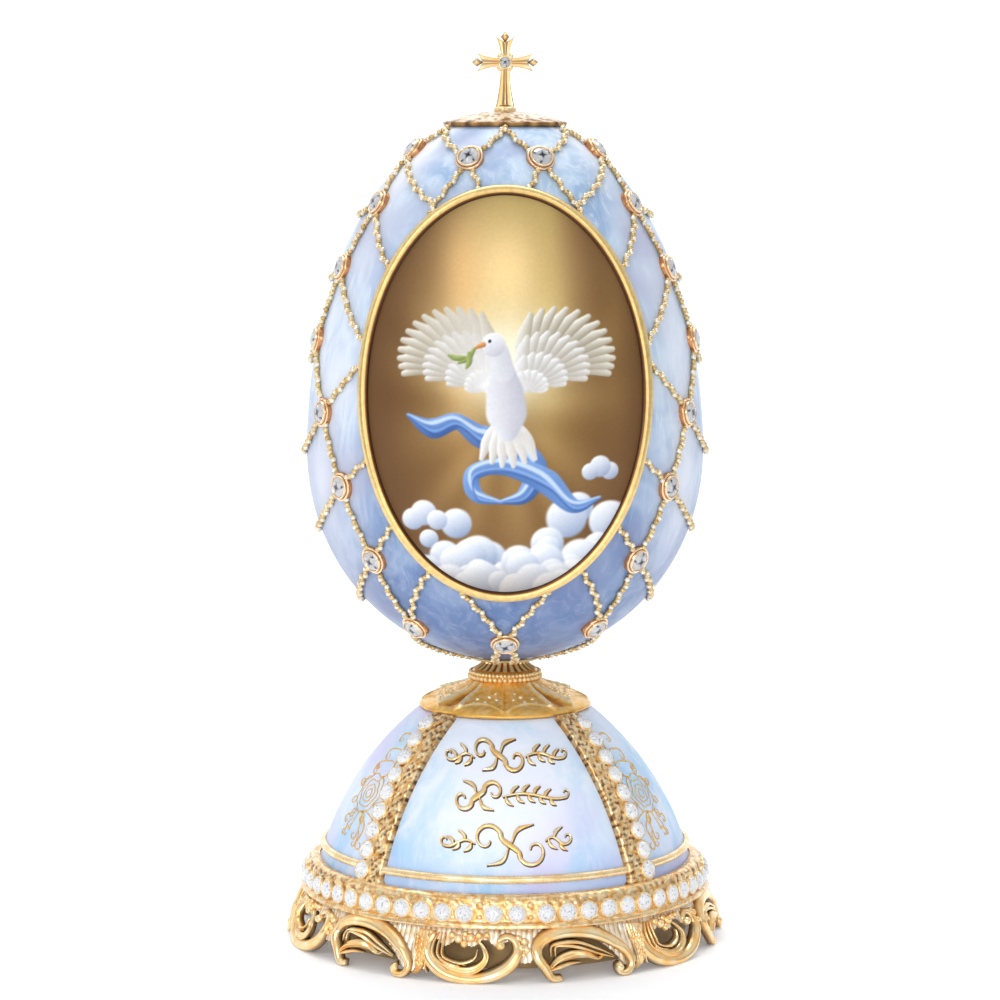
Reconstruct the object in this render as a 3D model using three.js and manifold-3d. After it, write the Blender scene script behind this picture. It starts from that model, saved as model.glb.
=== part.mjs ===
// A porcelain egg ornament on a domed porcelain base, in millimetres, +Z up.
// The origin is on the ground under the middle of the base, and the picture faces -Y.
import * as THREE from "three";
import { mergeVertices } from "three/addons/utils/BufferGeometryUtils.js";
import Module from "manifold-3d";

const wasm = await Module();
wasm.setup();

// Driving dimensions
const GAP = 0.3; // between two touching pieces
const SHORTEST_EDGE = 0.45; // in the pieces joined from several shapes
const EGG_RADIUS = 43.1;
const EGG_UPPER_AXIS = 73.2; // height of the upper half ellipse
const EGG_LOWER_AXIS = 45.7; // height of the lower half ellipse
const CAP_RADIUS = 13.05;
const CAP_RIM_HEIGHT = 0.9;
const CAP_DOME_HEIGHT = 3.0;
const CROSS_HEIGHT = 16.8;
const CROSS_SPAN = 14.2;
const CROSS_THICKNESS = 1.8;
const CROSS_STONE_RADIUS = 1.0;
const PICTURE_WIDTH_SHARE = 0.7053; // of the egg's width, to the outer edge of the oval frame
const PICTURE_HEIGHT_SHARE = 0.7216; // of the egg's full height
const PICTURE_CENTRE_LEVEL = 0.2022; // levels run from -1 under the egg to 0 at its widest and 1 on top
const PICTURE_FRAME_WIDTH = 1.9;
const PICTURE_FRAME_HEIGHT = 1.2;
const STRAND_WIDTH = 1.3;
const STRAND_HEIGHT = 0.85;
const STRAND_LIFT = 0.2; // how much higher than a bezel a strand starts
const BEZEL_RADIUS = 3.0;
const BEZEL_HEIGHT = 1.4;
const CRYSTAL_RADIUS = 2.25;
const CRYSTAL_HEIGHT = 0.9;
const PEDESTAL_HEIGHT = 10.7; // from the dome to the egg
const NECK_RING_RADIUS = 8.0;
const NECK_RING_HEIGHT = 2.3;
const NECK_TOP_RADIUS = 4.4;
const NECK_COLLAR_HEIGHT = 1.9;
const FLARE_OVERHANG = 0.3; // beyond the dome's flat top
const FLARE_LOBE_DEPTH = 0.5;
const FLARE_LOBES = 8;
const DOME_BOTTOM_RADIUS = 41.86;
const DOME_TOP_RADIUS = 18.6;
const DOME_HEIGHT = 38.7;
const BAND_THICKNESS = 1.84; // over the dome's lower edge
const BAND_LIP = 1.1;
const BAND_BELOW_DOME = 0.6;
const BAND_HEIGHT = 6.6;
const HOOP_ABOVE_BAND = 2.7; // to the middle of the hoop
const HOOP_THICKNESS = 1.3;
const HOOP_HEIGHT = 2.1;
const RIB_WIDTH = 7.5;
const RIB_THICKNESS = 1.3;
const RIB_COUNT = 4;
const DRUM_CLEARANCE = 1.7; // inside the foot
const DRUM_BOTTOM_Z = 1.3;
const COVE_SETBACK = 1.4; // from the band's lip
const COVE_FLARE = 1.2; // how much wider the cove is at its lower edge
const COVE_THICKNESS = 1.7;
const COVE_HEIGHT = 2.4;
const FOOT_HEIGHT = 10.9; // with the gap to the band
const FOOT_FLARE = 2.3; // how much wider the scrolls stand than the cove
const SCROLL_RADIUS = 0.95;
const SCROLL_UNITS = 6;
const FOOT_PAD_WIDTH = 4.4;
const SCROLL_START_DEG = -9; // where the first open scroll stands, from the front

const rad = THREE.MathUtils.degToRad;

// Heights and radii that follow from one another, from the ground up
const BAND_BOTTOM_Z = FOOT_HEIGHT;
const BAND_TOP_Z = BAND_BOTTOM_Z + BAND_HEIGHT;
const DOME_BOTTOM_Z = BAND_BOTTOM_Z + BAND_BELOW_DOME;
const DOME_TOP_Z = DOME_BOTTOM_Z + DOME_HEIGHT;
const HOOP_Z = BAND_TOP_Z + HOOP_ABOVE_BAND;
const EGG_BOTTOM_Z = DOME_TOP_Z + PEDESTAL_HEIGHT;
const EGG_WIDEST_Z = EGG_BOTTOM_Z + EGG_LOWER_AXIS;
const BAND_RADIUS = DOME_BOTTOM_RADIUS + BAND_THICKNESS;
const BAND_LIP_RADIUS = BAND_RADIUS + BAND_LIP;
const COVE_TOP_RADIUS = BAND_LIP_RADIUS - COVE_SETBACK;
const COVE_BOTTOM_RADIUS = COVE_TOP_RADIUS + COVE_FLARE;
const COVE_TOP_Z = BAND_BOTTOM_Z - GAP;
const COVE_BOTTOM_Z = COVE_TOP_Z - COVE_HEIGHT;
const FOOT_RADIUS = COVE_BOTTOM_RADIUS + FOOT_FLARE;
const DRUM_RADIUS = COVE_TOP_RADIUS - COVE_THICKNESS - DRUM_CLEARANCE;
const FLARE_RADIUS = DOME_TOP_RADIUS + FLARE_OVERHANG;
const PICTURE_HALF_WIDTH = EGG_RADIUS * PICTURE_WIDTH_SHARE;
const PICTURE_HALF_HEIGHT = ((EGG_UPPER_AXIS + EGG_LOWER_AXIS) / 2) * PICTURE_HEIGHT_SHARE;
const PICTURE_CENTRE_Z = heightOf(PICTURE_CENTRE_LEVEL);

// The dome's arc is centred at ground level and passes through its lower and upper edge
const DOME_ARC_OFFSET =
  (DOME_TOP_Z ** 2 - DOME_BOTTOM_Z ** 2 - DOME_BOTTOM_RADIUS ** 2 + DOME_TOP_RADIUS ** 2) /
  (2 * (DOME_BOTTOM_RADIUS - DOME_TOP_RADIUS));
const DOME_ARC_RADIUS = Math.hypot(DOME_TOP_RADIUS + DOME_ARC_OFFSET, DOME_TOP_Z);

// The height of a level on the egg
function heightOf(level) {
  return EGG_WIDEST_Z + level * (level > 0 ? EGG_UPPER_AXIS : EGG_LOWER_AXIS);
}

// Profiles of the egg and the dome
function eggRadius(z) {
  const axis = z > EGG_WIDEST_Z ? EGG_UPPER_AXIS : EGG_LOWER_AXIS;
  const share = Math.min(1, Math.abs(z - EGG_WIDEST_Z) / axis);
  return EGG_RADIUS * Math.sqrt(1 - share * share);
}

function domeRadius(z) {
  return Math.sqrt(DOME_ARC_RADIUS ** 2 - z * z) - DOME_ARC_OFFSET;
}

// The height at which the egg's upper half has a radius
function eggHeightAt(radius) {
  return EGG_WIDEST_Z + EGG_UPPER_AXIS * Math.sqrt(1 - (radius / EGG_RADIUS) ** 2);
}

const EGG_TOP_Z = eggHeightAt(CAP_RADIUS - 0.4); // cut flat under the cap
const CAP_BOTTOM_Z = EGG_TOP_Z + GAP;
const CAP_TOP_Z = CAP_BOTTOM_Z + CAP_DOME_HEIGHT;
const CROSS_BOTTOM_Z = CAP_TOP_Z + GAP;

// A point on a surface of revolution, turned from the front, and its outward normal
function onSurface(radiusAt, degrees, z) {
  const angle = rad(degrees);
  const step = 0.05;
  const slope = (radiusAt(z + step) - radiusAt(z - step)) / (2 * step);
  const around = new THREE.Vector3(Math.sin(angle), -Math.cos(angle), 0);
  const point = around.clone().multiplyScalar(radiusAt(z)).setZ(z);
  const normal = around.clone().setZ(-slope).normalize();
  return { point, normal };
}

// Solids with manifold-3d
function solidOf(geometry) {
  const bare = geometry.clone();
  bare.deleteAttribute("normal");
  bare.deleteAttribute("uv");
  const merged = mergeVertices(bare, 1e-4);
  const corners = merged.index.array;
  const triVerts = [];
  for (let i = 0; i < corners.length; i += 3) {
    const [a, b, c] = [corners[i], corners[i + 1], corners[i + 2]];
    if (a !== b && b !== c && c !== a) triVerts.push(a, b, c);
  }
  return new wasm.Manifold(
    new wasm.Mesh({
      numProp: 3,
      vertProperties: merged.attributes.position.array,
      triVerts: new Uint32Array(triVerts),
    }),
  );
}

function geometryOf(solid) {
  const mesh = solid.getMesh();
  const geometry = new THREE.BufferGeometry();
  geometry.setAttribute("position", new THREE.BufferAttribute(new Float32Array(mesh.vertProperties), 3));
  geometry.setIndex(new THREE.BufferAttribute(new Uint32Array(mesh.triVerts), 1));
  geometry.computeVertexNormals();
  return geometry;
}

function joined(geometries, cutAway) {
  let whole = geometries.map(solidOf).reduce((sum, next) => sum.add(next));
  if (cutAway) whole = whole.subtract(solidOf(cutAway));
  return withoutShortEdges(geometryOf(whole), SHORTEST_EDGE);
}

// Draws together the ends of short edges, only where the surface stays closed and no face turns over
function withoutShortEdges(geometry, shortest) {
  const position = geometry.attributes.position;
  const points = Array.from({ length: position.count }, (_, i) =>
    new THREE.Vector3().fromBufferAttribute(position, i));
  const corners = geometry.index.array;
  const faces = Array.from({ length: corners.length / 3 }, (_, i) => [...corners.slice(3 * i, 3 * i + 3)]);
  const facesAt = points.map(() => new Set());
  faces.forEach((face, i) => face.forEach((corner) => facesAt[corner].add(i)));
  const neighbours = (corner) => {
    const found = new Set([...facesAt[corner]].flatMap((i) => faces[i]));
    found.delete(corner);
    return found;
  };
  const normalOf = (face) => {
    const [a, b, c] = face.map((corner) => points[corner]);
    return new THREE.Vector3().crossVectors(b.clone().sub(a), c.clone().sub(a)).normalize();
  };
  const canJoin = (keep, drop) => {
    const beyond = neighbours(drop);
    const shared = [...neighbours(keep)].filter((corner) => beyond.has(corner));
    if (shared.length !== 2) return false;
    return [...facesAt[drop]].every((i) => {
      if (faces[i].includes(keep)) return true;
      const moved = faces[i].map((corner) => (corner === drop ? keep : corner));
      return normalOf(faces[i]).dot(normalOf(moved)) > 0.8;
    });
  };
  const join = (keep, drop) => {
    for (const i of [...facesAt[drop]]) {
      if (faces[i].includes(keep)) {
        faces[i].forEach((corner) => facesAt[corner].delete(i));
        faces[i] = null;
      } else {
        faces[i] = faces[i].map((corner) => (corner === drop ? keep : corner));
        facesAt[keep].add(i);
      }
    }
    facesAt[drop].clear();
  };
  const passes = 3;
  for (let pass = 0; pass < passes; pass++) {
    for (let i = 0; i < faces.length; i++) {
      for (let k = 0; k < 3 && faces[i]; k++) {
        const [keep, drop] = [faces[i][k], faces[i][(k + 1) % 3]];
        if (points[keep].distanceTo(points[drop]) > shortest) continue;
        if (canJoin(keep, drop)) join(keep, drop);
        else if (canJoin(drop, keep)) join(drop, keep);
      }
    }
  }
  const light = new THREE.BufferGeometry();
  light.setAttribute("position", position);
  light.setIndex(faces.filter(Boolean).flat());
  return geometryOf(solidOf(light));
}

// A body through rings of points, capped at its ends or closed on itself
function loft(rings, closed = false) {
  const sides = rings[0].length;
  const positions = rings.flat().flatMap((p) => [p.x, p.y, p.z]);
  const index = [];
  const spans = closed ? rings.length : rings.length - 1;
  for (let i = 0; i < spans; i++) {
    const next = (i + 1) % rings.length;
    for (let j = 0; j < sides; j++) {
      const k = (j + 1) % sides;
      const [a, b, c, d] = [i * sides + j, i * sides + k, next * sides + k, next * sides + j];
      index.push(a, b, c, a, c, d);
    }
  }
  if (!closed) {
    const last = (rings.length - 1) * sides;
    for (let j = 1; j < sides - 1; j++) {
      index.push(0, j + 1, j);
      index.push(last, last + j, last + j + 1);
    }
  }
  const geometry = new THREE.BufferGeometry();
  geometry.setAttribute("position", new THREE.Float32BufferAttribute(positions, 3));
  geometry.setIndex(index);
  return solidOf(geometry).volume() < 0 ? turnedOut(geometry) : geometry;
}

function turnedOut(geometry) {
  const index = geometry.index.array;
  for (let i = 0; i < index.length; i += 3) [index[i + 1], index[i + 2]] = [index[i + 2], index[i + 1]];
  return geometry;
}

// A bar laid along a route on a surface. Each section point is [across, out].
function barOnSurface(stations, section, closed = false) {
  const rings = stations.map((station, i) => {
    const before = stations[closed ? (i + stations.length - 1) % stations.length : Math.max(0, i - 1)];
    const after = stations[closed ? (i + 1) % stations.length : Math.min(stations.length - 1, i + 1)];
    const along = after.point.clone().sub(before.point).normalize();
    const across = new THREE.Vector3().crossVectors(along, station.normal).normalize();
    return section.map(([side, out]) =>
      station.point.clone().addScaledVector(across, side).addScaledVector(station.normal, out));
  });
  return loft(rings, closed);
}

function lathe(profile, segments) {
  const points = profile.map(([r, z]) => new THREE.Vector2(r, z));
  return new THREE.LatheGeometry(points, segments).rotateX(Math.PI / 2);
}

// Materials
const material = (color, roughness, metalness) =>
  new THREE.MeshStandardMaterial({ color, roughness, metalness });
const pearlBlue = material(0xc3d5f0, 0.2, 0);
const gold = material(0xe3b45c, 0.25, 1);
const paleGold = material(0xeed9ae, 0.35, 1);
const crystal = material(0xf4f6fa, 0.05, 0);
const bronzeBrown = material(0x8f7650, 0.5, 0.4);

const part = new THREE.Group();

function place(name, geometry, finish, parent = part) {
  const mesh = new THREE.Mesh(geometry, finish);
  mesh.name = name;
  parent.add(mesh);
  return mesh;
}

// The porcelain egg, with a flat top under the cap
function makeEgg() {
  const rings = 14;
  const segments = 24;
  const upperLimit = Math.asin((EGG_TOP_Z - EGG_WIDEST_Z) / EGG_UPPER_AXIS);
  const profile = [[0, EGG_BOTTOM_Z]];
  for (let i = 1; i <= rings; i++) {
    const angle = -Math.PI / 2 + ((upperLimit + Math.PI / 2) * i) / rings;
    const axis = angle > 0 ? EGG_UPPER_AXIS : EGG_LOWER_AXIS;
    profile.push([EGG_RADIUS * Math.cos(angle), EGG_WIDEST_Z + axis * Math.sin(angle)]);
  }
  profile.push([0, EGG_TOP_Z]);
  return lathe(profile, segments);
}

// The shallow gilt cap on top of the egg, a lens on a rim
function makeCap() {
  const steps = 3;
  const rimTop = CAP_BOTTOM_Z + CAP_RIM_HEIGHT;
  const profile = [[0, CAP_BOTTOM_Z], [CAP_RADIUS, CAP_BOTTOM_Z], [CAP_RADIUS, rimTop]];
  for (let i = 0; i < steps; i++) {
    const share = 1 - i / steps;
    profile.push([(CAP_RADIUS - 0.4) * share, rimTop + (CAP_TOP_Z - rimTop) * (1 - share * share)]);
  }
  profile.push([0, CAP_TOP_Z]);
  return lathe(profile, 18);
}

// The cross: a shaft that widens to its foot and three arms that widen to a forked end with a bud
function makeCross() {
  const halfSpan = CROSS_SPAN / 2;
  const centre = CROSS_HEIGHT - halfSpan + 0.4;
  const waist = 1.05;
  const tip = 2.0;
  const bud = 0.75;
  const arm = (reach) => [
    [-waist, waist],
    [-tip, reach - bud],
    [-bud, reach - bud - 0.5],
    [-bud * 0.8, reach - 0.2],
    [0, reach],
    [bud * 0.8, reach - 0.2],
    [bud, reach - bud - 0.5],
    [tip, reach - bud],
  ];
  const shaft = [
    [-waist, waist],
    [-tip, centre],
    [tip, centre],
  ];
  const clockwise = ([x, y], quarter) => [[x, y], [y, -x], [-x, -y], [-y, x]][quarter];
  const arms = [arm(CROSS_HEIGHT - centre), arm(halfSpan), shaft, arm(halfSpan)];
  const outline = arms.flatMap((points, quarter) => points.map((point) => clockwise(point, quarter)));
  const shape = new THREE.Shape(outline.map(([x, y]) => new THREE.Vector2(x, y)));
  const geometry = new THREE.ExtrudeGeometry(shape, { depth: CROSS_THICKNESS, bevelEnabled: false });
  geometry.translate(0, centre, -CROSS_THICKNESS / 2).rotateX(Math.PI / 2);
  return { geometry, centre };
}

// The oval frame, laid on the front of the egg
function ovalStation(t, inset) {
  const x = (PICTURE_HALF_WIDTH - inset) * Math.cos(t);
  const z = PICTURE_CENTRE_Z + (PICTURE_HALF_HEIGHT - inset) * Math.sin(t);
  return onSurface(eggRadius, THREE.MathUtils.radToDeg(Math.asin(x / eggRadius(z))), z);
}

function makePictureFrame() {
  const steps = 32;
  const half = PICTURE_FRAME_WIDTH / 2;
  const stations = [];
  for (let i = 0; i < steps; i++) stations.push(ovalStation((2 * Math.PI * i) / steps, half));
  const section = [
    [-half, GAP],
    [half, GAP],
    [half * 0.6, GAP + PICTURE_FRAME_HEIGHT],
    [-half * 0.6, GAP + PICTURE_FRAME_HEIGHT],
  ];
  return barOnSurface(stations, section, true);
}

// The lattice's rows, from the cap down: the level, and how far the side chains stand from the front or back
const CHAIN = [
  { level: 0.8825, turn: 72 },
  { level: 0.7309, turn: 64.3 },
  { level: 0.5451, turn: 71 },
  { level: 0.3361, turn: 78 },
  { level: 0.1339, turn: 63 },
  { level: -0.1116, turn: 52.5 },
  { level: -0.4442, turn: 45 },
  { level: -0.779, turn: 44.5 },
].map(({ level, turn }) => ({ z: heightOf(level), turn }));
const WAIST_ROW = 3; // from here down the strands round the sides hang low
const SIDE_DROP = 0.27 * EGG_RADIUS; // how far a long strand hangs at the side
const UPPER_SIDE_DROP = 0.06 * EGG_RADIUS;
const FOOT_RING_Z = heightOf(-0.9847);
const LATTICE_TOP_Z = CAP_BOTTOM_Z - 1.0;

// Places on the egg. A strand that ends at a bezel stops inside it.
const bezelAt = (turn, z) => ({ turn, z, hold: BEZEL_RADIUS - 0.7 });
const plainAt = (turn, z) => ({ turn, z, hold: 0 });
const midway = (a, b, share) => plainAt(
  THREE.MathUtils.lerp(a.turn, b.turn, share),
  THREE.MathUtils.lerp(a.z, b.z, share),
);
const pointOnEgg = ({ turn, z }) => onSurface(eggRadius, turn, z).point;

const CHAIN_PLACES = CHAIN.map(({ turn, z }) => bezelAt(turn, z));
const CAP_MIDDLE = plainAt(0, LATTICE_TOP_Z);
const CAP_SIDE = plainAt(60, LATTICE_TOP_Z);
const UPPER_PAIR = bezelAt(19.5, heightOf(0.8607));
const UPPER_CROSSING = plainAt(29.8, heightOf(0.7295));
const LOWER_STONE = bezelAt(0, heightOf(-0.8425));
const LOWEST_CHAIN = plainAt(85, FOOT_RING_Z);
const LOWEST_FRONT = plainAt(12, FOOT_RING_Z);
const LOWEST_BACK = plainAt(12, FOOT_RING_Z);

// Where a strand that heads inwards, to a turn and level, meets the oval frame's outer edge
function toFrame(from, turn, level) {
  const to = { turn, z: heightOf(level) };
  const outside = (place) => {
    const x = eggRadius(place.z) * Math.sin(rad(place.turn));
    const y = place.z - PICTURE_CENTRE_Z;
    return Math.hypot(x / PICTURE_HALF_WIDTH, y / PICTURE_HALF_HEIGHT) > 1;
  };
  let share = 0;
  while (outside(midway(from, to, share)) && share < 1) share += 0.01;
  const length = pointOnEgg(from).distanceTo(pointOnEgg(to));
  return midway(from, to, share - (STRAND_WIDTH / 2 + GAP) / length);
}

// The chain of one quarter, from the cap to the ring under the egg
function chainLinks() {
  const chain = [CAP_SIDE, ...CHAIN_PLACES, LOWEST_CHAIN];
  return chain.slice(1).map((place, i) => [chain[i], place]);
}

// The strands that hang round a side from the front chain to the back chain. Their drop follows the sine of
// the turn, so that they look straight from the front.
function sideLinks() {
  return CHAIN_PLACES.slice(1, -1).map((from, i) => {
    const isUpper = i + 1 < WAIST_ROW;
    const drop = isUpper ? UPPER_SIDE_DROP : SIDE_DROP * Math.min(1, (90 - from.turn) / 36 + 0.1);
    const start = Math.sin(rad(from.turn));
    const at = (turn) => plainAt(turn, from.z - (drop * (Math.sin(rad(turn)) - start)) / (1 - start));
    const between = (from.turn + 90) / 2;
    return [from, at(between), at(90), at(180 - between), { ...from, turn: 180 - from.turn }];
  });
}

// The strands that run from one side of the front to the oval frame
function frontLinks() {
  const targets = [[1, 30, 0.456], [2, 30, 0.21], [4, 30, 0.429], [5, 30, 0.101], [6, 26, -0.144], [7, 14, -0.32]];
  const links = targets.map(([row, turn, level]) => [CHAIN_PLACES[row], toFrame(CHAIN_PLACES[row], turn, level)]);
  links.push(
    [CAP_MIDDLE, UPPER_PAIR],
    [CAP_SIDE, UPPER_PAIR],
    [UPPER_PAIR, toFrame(UPPER_PAIR, 6, 0.7295)],
    [UPPER_PAIR, UPPER_CROSSING, toFrame(UPPER_CROSSING, 34, 0.593)],
    [CHAIN_PLACES[0], UPPER_CROSSING],
    [LOWER_STONE, toFrame(LOWER_STONE, 26, -0.363)],
    [LOWER_STONE, LOWEST_FRONT],
  );
  return links;
}

// The plainer diamond net of one side of the back, with a stone in the middle of every other row
function backLinks() {
  const row = (i) => CHAIN[i];
  const middle = (i) => bezelAt(0, row(i).z);
  const lastRow = CHAIN.length - 1;
  const top = bezelAt(row(0).turn / 2, row(0).z);
  const links = [
    [CAP_MIDDLE, top],
    [top, middle(1)],
    [top, CHAIN_PLACES[1]],
    [middle(lastRow), LOWEST_BACK],
  ];
  for (let i = 2; i < lastRow; i += 2) {
    const crossing = plainAt(row(i).turn / 2, row(i).z);
    links.push([middle(i - 1), crossing, CHAIN_PLACES[i + 1]]);
    links.push([CHAIN_PLACES[i - 1], crossing, middle(i + 1)]);
  }
  return links;
}

// All strands of the net, turned and mirrored to where they belong
function allLinks() {
  const atFront = (side) => (place) => ({ ...place, turn: side * place.turn });
  const atBack = (side) => (place) => ({ ...place, turn: 180 - side * place.turn });
  const moved = (links, move) => links.map((link) => link.map(move));
  return [1, -1].flatMap((side) => [
    ...moved([...chainLinks(), ...sideLinks(), ...frontLinks()], atFront(side)),
    ...moved([...chainLinks(), ...backLinks()], atBack(side)),
  ]);
}

// Where the bezels stand, each place once
function bezelPlaces() {
  const found = [];
  for (const place of allLinks().flat()) {
    const point = pointOnEgg(place);
    const isNew = found.every((other) => pointOnEgg(other).distanceTo(point) > 0.1);
    if (place.hold > 0 && isNew) found.push(place);
  }
  return found;
}

// A strand is laid in straight spans, lifted so that no span touches the egg between its ends
function strandStations(places) {
  const longest = 10;
  const stations = [];
  for (let i = 1; i < places.length; i++) {
    const [from, to] = [places[i - 1], places[i]];
    const length = pointOnEgg(from).distanceTo(pointOnEgg(to));
    const start = from.hold / length;
    const end = 1 - to.hold / length;
    const spans = Math.ceil((length * (end - start)) / longest);
    const lift = ((length * (end - start)) / spans) ** 2 / (8 * 0.81 * EGG_RADIUS);
    for (let k = i === 1 ? 0 : 1; k <= spans; k++) {
      const { turn, z } = midway(from, to, start + ((end - start) * k) / spans);
      const { point, normal } = onSurface(eggRadius, turn, z);
      stations.push({ point: point.addScaledVector(normal, lift), normal });
    }
  }
  return stations;
}

// Beaded strands and bezels as one net that wraps the egg
function makeLattice() {
  const half = STRAND_WIDTH / 2;
  const section = [
    [-half, GAP + STRAND_LIFT],
    [half, GAP + STRAND_LIFT],
    [0, GAP + STRAND_LIFT + STRAND_HEIGHT],
  ];
  const strands = allLinks().map((places) => barOnSurface(strandStations(places), section));
  const ringSteps = 12;
  const ring = [];
  for (let i = 0; i < ringSteps; i++) ring.push(onSurface(eggRadius, (360 * i) / ringSteps, FOOT_RING_Z));
  const bezels = bezelPlaces().map((place) =>
    standOnEgg(disc(BEZEL_RADIUS, BEZEL_HEIGHT, 0.9, 8), place));
  return joined([...strands, barOnSurface(ring, section, true), ...bezels]);
}

// A tapered disc that stands a gap above the egg, its axis along +Y
function disc(radius, height, taper, sides) {
  const ring = (r, y) => Array.from({ length: sides }, (_, i) => {
    const angle = (2 * Math.PI * (i + 0.5)) / sides;
    return new THREE.Vector3(r * Math.cos(angle), y, r * Math.sin(angle));
  });
  return loft([ring(radius, GAP), ring(radius * taper, GAP + height)]);
}

// Turns a geometry whose axis is +Y so that it stands on the egg
function standOnEgg(geometry, { turn, z }) {
  const { point, normal } = onSurface(eggRadius, turn, z);
  const upright = new THREE.Quaternion().setFromUnitVectors(new THREE.Vector3(0, 1, 0), normal);
  return geometry.applyQuaternion(upright).translate(point.x, point.y, point.z);
}

// The domed porcelain base
function makeDome() {
  const profile = [[0, DOME_BOTTOM_Z]];
  const steps = 6;
  for (let i = 0; i <= steps; i++) {
    const z = THREE.MathUtils.lerp(DOME_BOTTOM_Z, DOME_TOP_Z, i / steps);
    profile.push([domeRadius(z), z]);
  }
  profile.push([0, DOME_TOP_Z]);
  return lathe(profile, 28);
}

// The gilt frame on the dome: a stone-set band, a hoop and four ribs, cast in one
function makeDomeFrame() {
  const around = 32;
  const top = BAND_TOP_Z;
  const inner = (z) => domeRadius(Math.max(z, DOME_BOTTOM_Z)) + GAP + 0.1;
  const ring = (profile) => {
    const closedProfile = [...profile, profile[0]];
    return lathe(closedProfile, around);
  };
  const band = ring([
    [inner(BAND_BOTTOM_Z), BAND_BOTTOM_Z],
    [BAND_LIP_RADIUS, BAND_BOTTOM_Z],
    [BAND_LIP_RADIUS, BAND_BOTTOM_Z + 1.1],
    [BAND_RADIUS, BAND_BOTTOM_Z + 1.5],
    [domeRadius(top) + 1.6, top],
    [inner(top), top],
  ]);
  const hoop = ring([
    [inner(HOOP_Z - HOOP_HEIGHT / 2), HOOP_Z - HOOP_HEIGHT / 2],
    [domeRadius(HOOP_Z) + HOOP_THICKNESS, HOOP_Z - HOOP_HEIGHT / 4],
    [domeRadius(HOOP_Z) + HOOP_THICKNESS, HOOP_Z + HOOP_HEIGHT / 4],
    [inner(HOOP_Z + HOOP_HEIGHT / 2), HOOP_Z + HOOP_HEIGHT / 2],
  ]);
  const ribs = [];
  for (let i = 0; i < RIB_COUNT; i++) {
    const turn = (180 / RIB_COUNT) * (2 * i + 1);
    const stations = [];
    const steps = 5;
    for (let k = 0; k <= steps; k++) {
      const z = THREE.MathUtils.lerp(BAND_BOTTOM_Z + 2.5, DOME_TOP_Z - 0.6, k / steps);
      stations.push(onSurface(domeRadius, turn, z));
    }
    const half = RIB_WIDTH / 2;
    ribs.push(barOnSurface(stations, [
      [-half, GAP + 0.1],
      [half, GAP + 0.1],
      [half, RIB_THICKNESS],
      [-half, RIB_THICKNESS],
    ]));
  }
  return joined([band, hoop, ...ribs]);
}

// The gilt pedestal between dome and egg: a lobed flare, a ring and a collar
function makeNeck() {
  const bottom = DOME_TOP_Z + GAP;
  const collarTop = EGG_BOTTOM_Z - GAP;
  const ringTop = collarTop - NECK_COLLAR_HEIGHT;
  const ringBottom = ringTop - NECK_RING_HEIGHT;
  const waist = NECK_RING_RADIUS - 0.9;
  const flareHeight = ringBottom - bottom;
  const profile = [
    [FLARE_RADIUS, bottom, 1],
    [FLARE_RADIUS, bottom + flareHeight * 0.16, 1],
    [FLARE_RADIUS - 1.6, bottom + flareHeight * 0.34, 1],
    [FLARE_RADIUS - 5.6, bottom + flareHeight * 0.55, 0.8],
    [waist + 2.0, bottom + flareHeight * 0.8, 0.5],
    [waist, ringBottom, 0],
    [NECK_RING_RADIUS, ringBottom + NECK_RING_HEIGHT * 0.3, 0],
    [NECK_RING_RADIUS, ringBottom + NECK_RING_HEIGHT * 0.7, 0],
    [NECK_TOP_RADIUS + 1.8, ringTop, 0],
    [NECK_TOP_RADIUS, collarTop, 0],
  ];
  const segments = 24;
  const rings = profile.map(([radius, z, share]) => {
    const ring = [];
    for (let j = 0; j < segments; j++) {
      const angle = (2 * Math.PI * j) / segments;
      const r = radius - FLARE_LOBE_DEPTH * share * (0.5 - 0.5 * Math.cos(FLARE_LOBES * angle));
      ring.push(new THREE.Vector3(r * Math.sin(angle), -r * Math.cos(angle), z));
    }
    return ring;
  });
  return loft(rings);
}

// The brown drum inside the foot
function makeDrum() {
  const height = DOME_BOTTOM_Z - GAP - DRUM_BOTTOM_Z;
  return new THREE.CylinderGeometry(DRUM_RADIUS, DRUM_RADIUS, height, 28)
    .rotateX(Math.PI / 2)
    .translate(0, 0, DRUM_BOTTOM_Z + height / 2);
}

// A point of the pierced foot: how far round from an element's middle, in millimetres, and its height
function onFoot(elementDeg, along, z) {
  const share = THREE.MathUtils.clamp(1 - z / COVE_BOTTOM_Z, 0, 1);
  const radius = COVE_BOTTOM_RADIUS - COVE_THICKNESS / 2 + (FOOT_RADIUS - COVE_BOTTOM_RADIUS) * share;
  const angle = rad(elementDeg) + along / COVE_BOTTOM_RADIUS;
  const normal = new THREE.Vector3(Math.sin(angle), -Math.cos(angle), 0);
  return { point: normal.clone().multiplyScalar(radius).setZ(z), normal };
}

// A tapering scroll along a smooth line through its places, each [along, z]
function scroll(elementDeg, places, thickness, steps) {
  const line = new THREE.CatmullRomCurve3(places.map(([x, z]) => new THREE.Vector3(x, 0, z)));
  const rings = [];
  for (let i = 0; i <= steps; i++) {
    const t = i / steps;
    const here = line.getPoint(t);
    const heading = line.getTangent(t);
    const r = thickness * (0.55 + 0.45 * Math.sin(Math.PI * t));
    const ring = [];
    for (let j = 0; j < 3; j++) {
      const angle = (2 * Math.PI * (j + 0.25)) / 3;
      const side = r * Math.cos(angle);
      const out = r * Math.sin(angle);
      const { point, normal } = onFoot(elementDeg, here.x - heading.z * side, here.z + heading.x * side);
      ring.push(point.addScaledVector(normal, out));
    }
    rings.push(ring);
  }
  return loft(rings);
}

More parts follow.
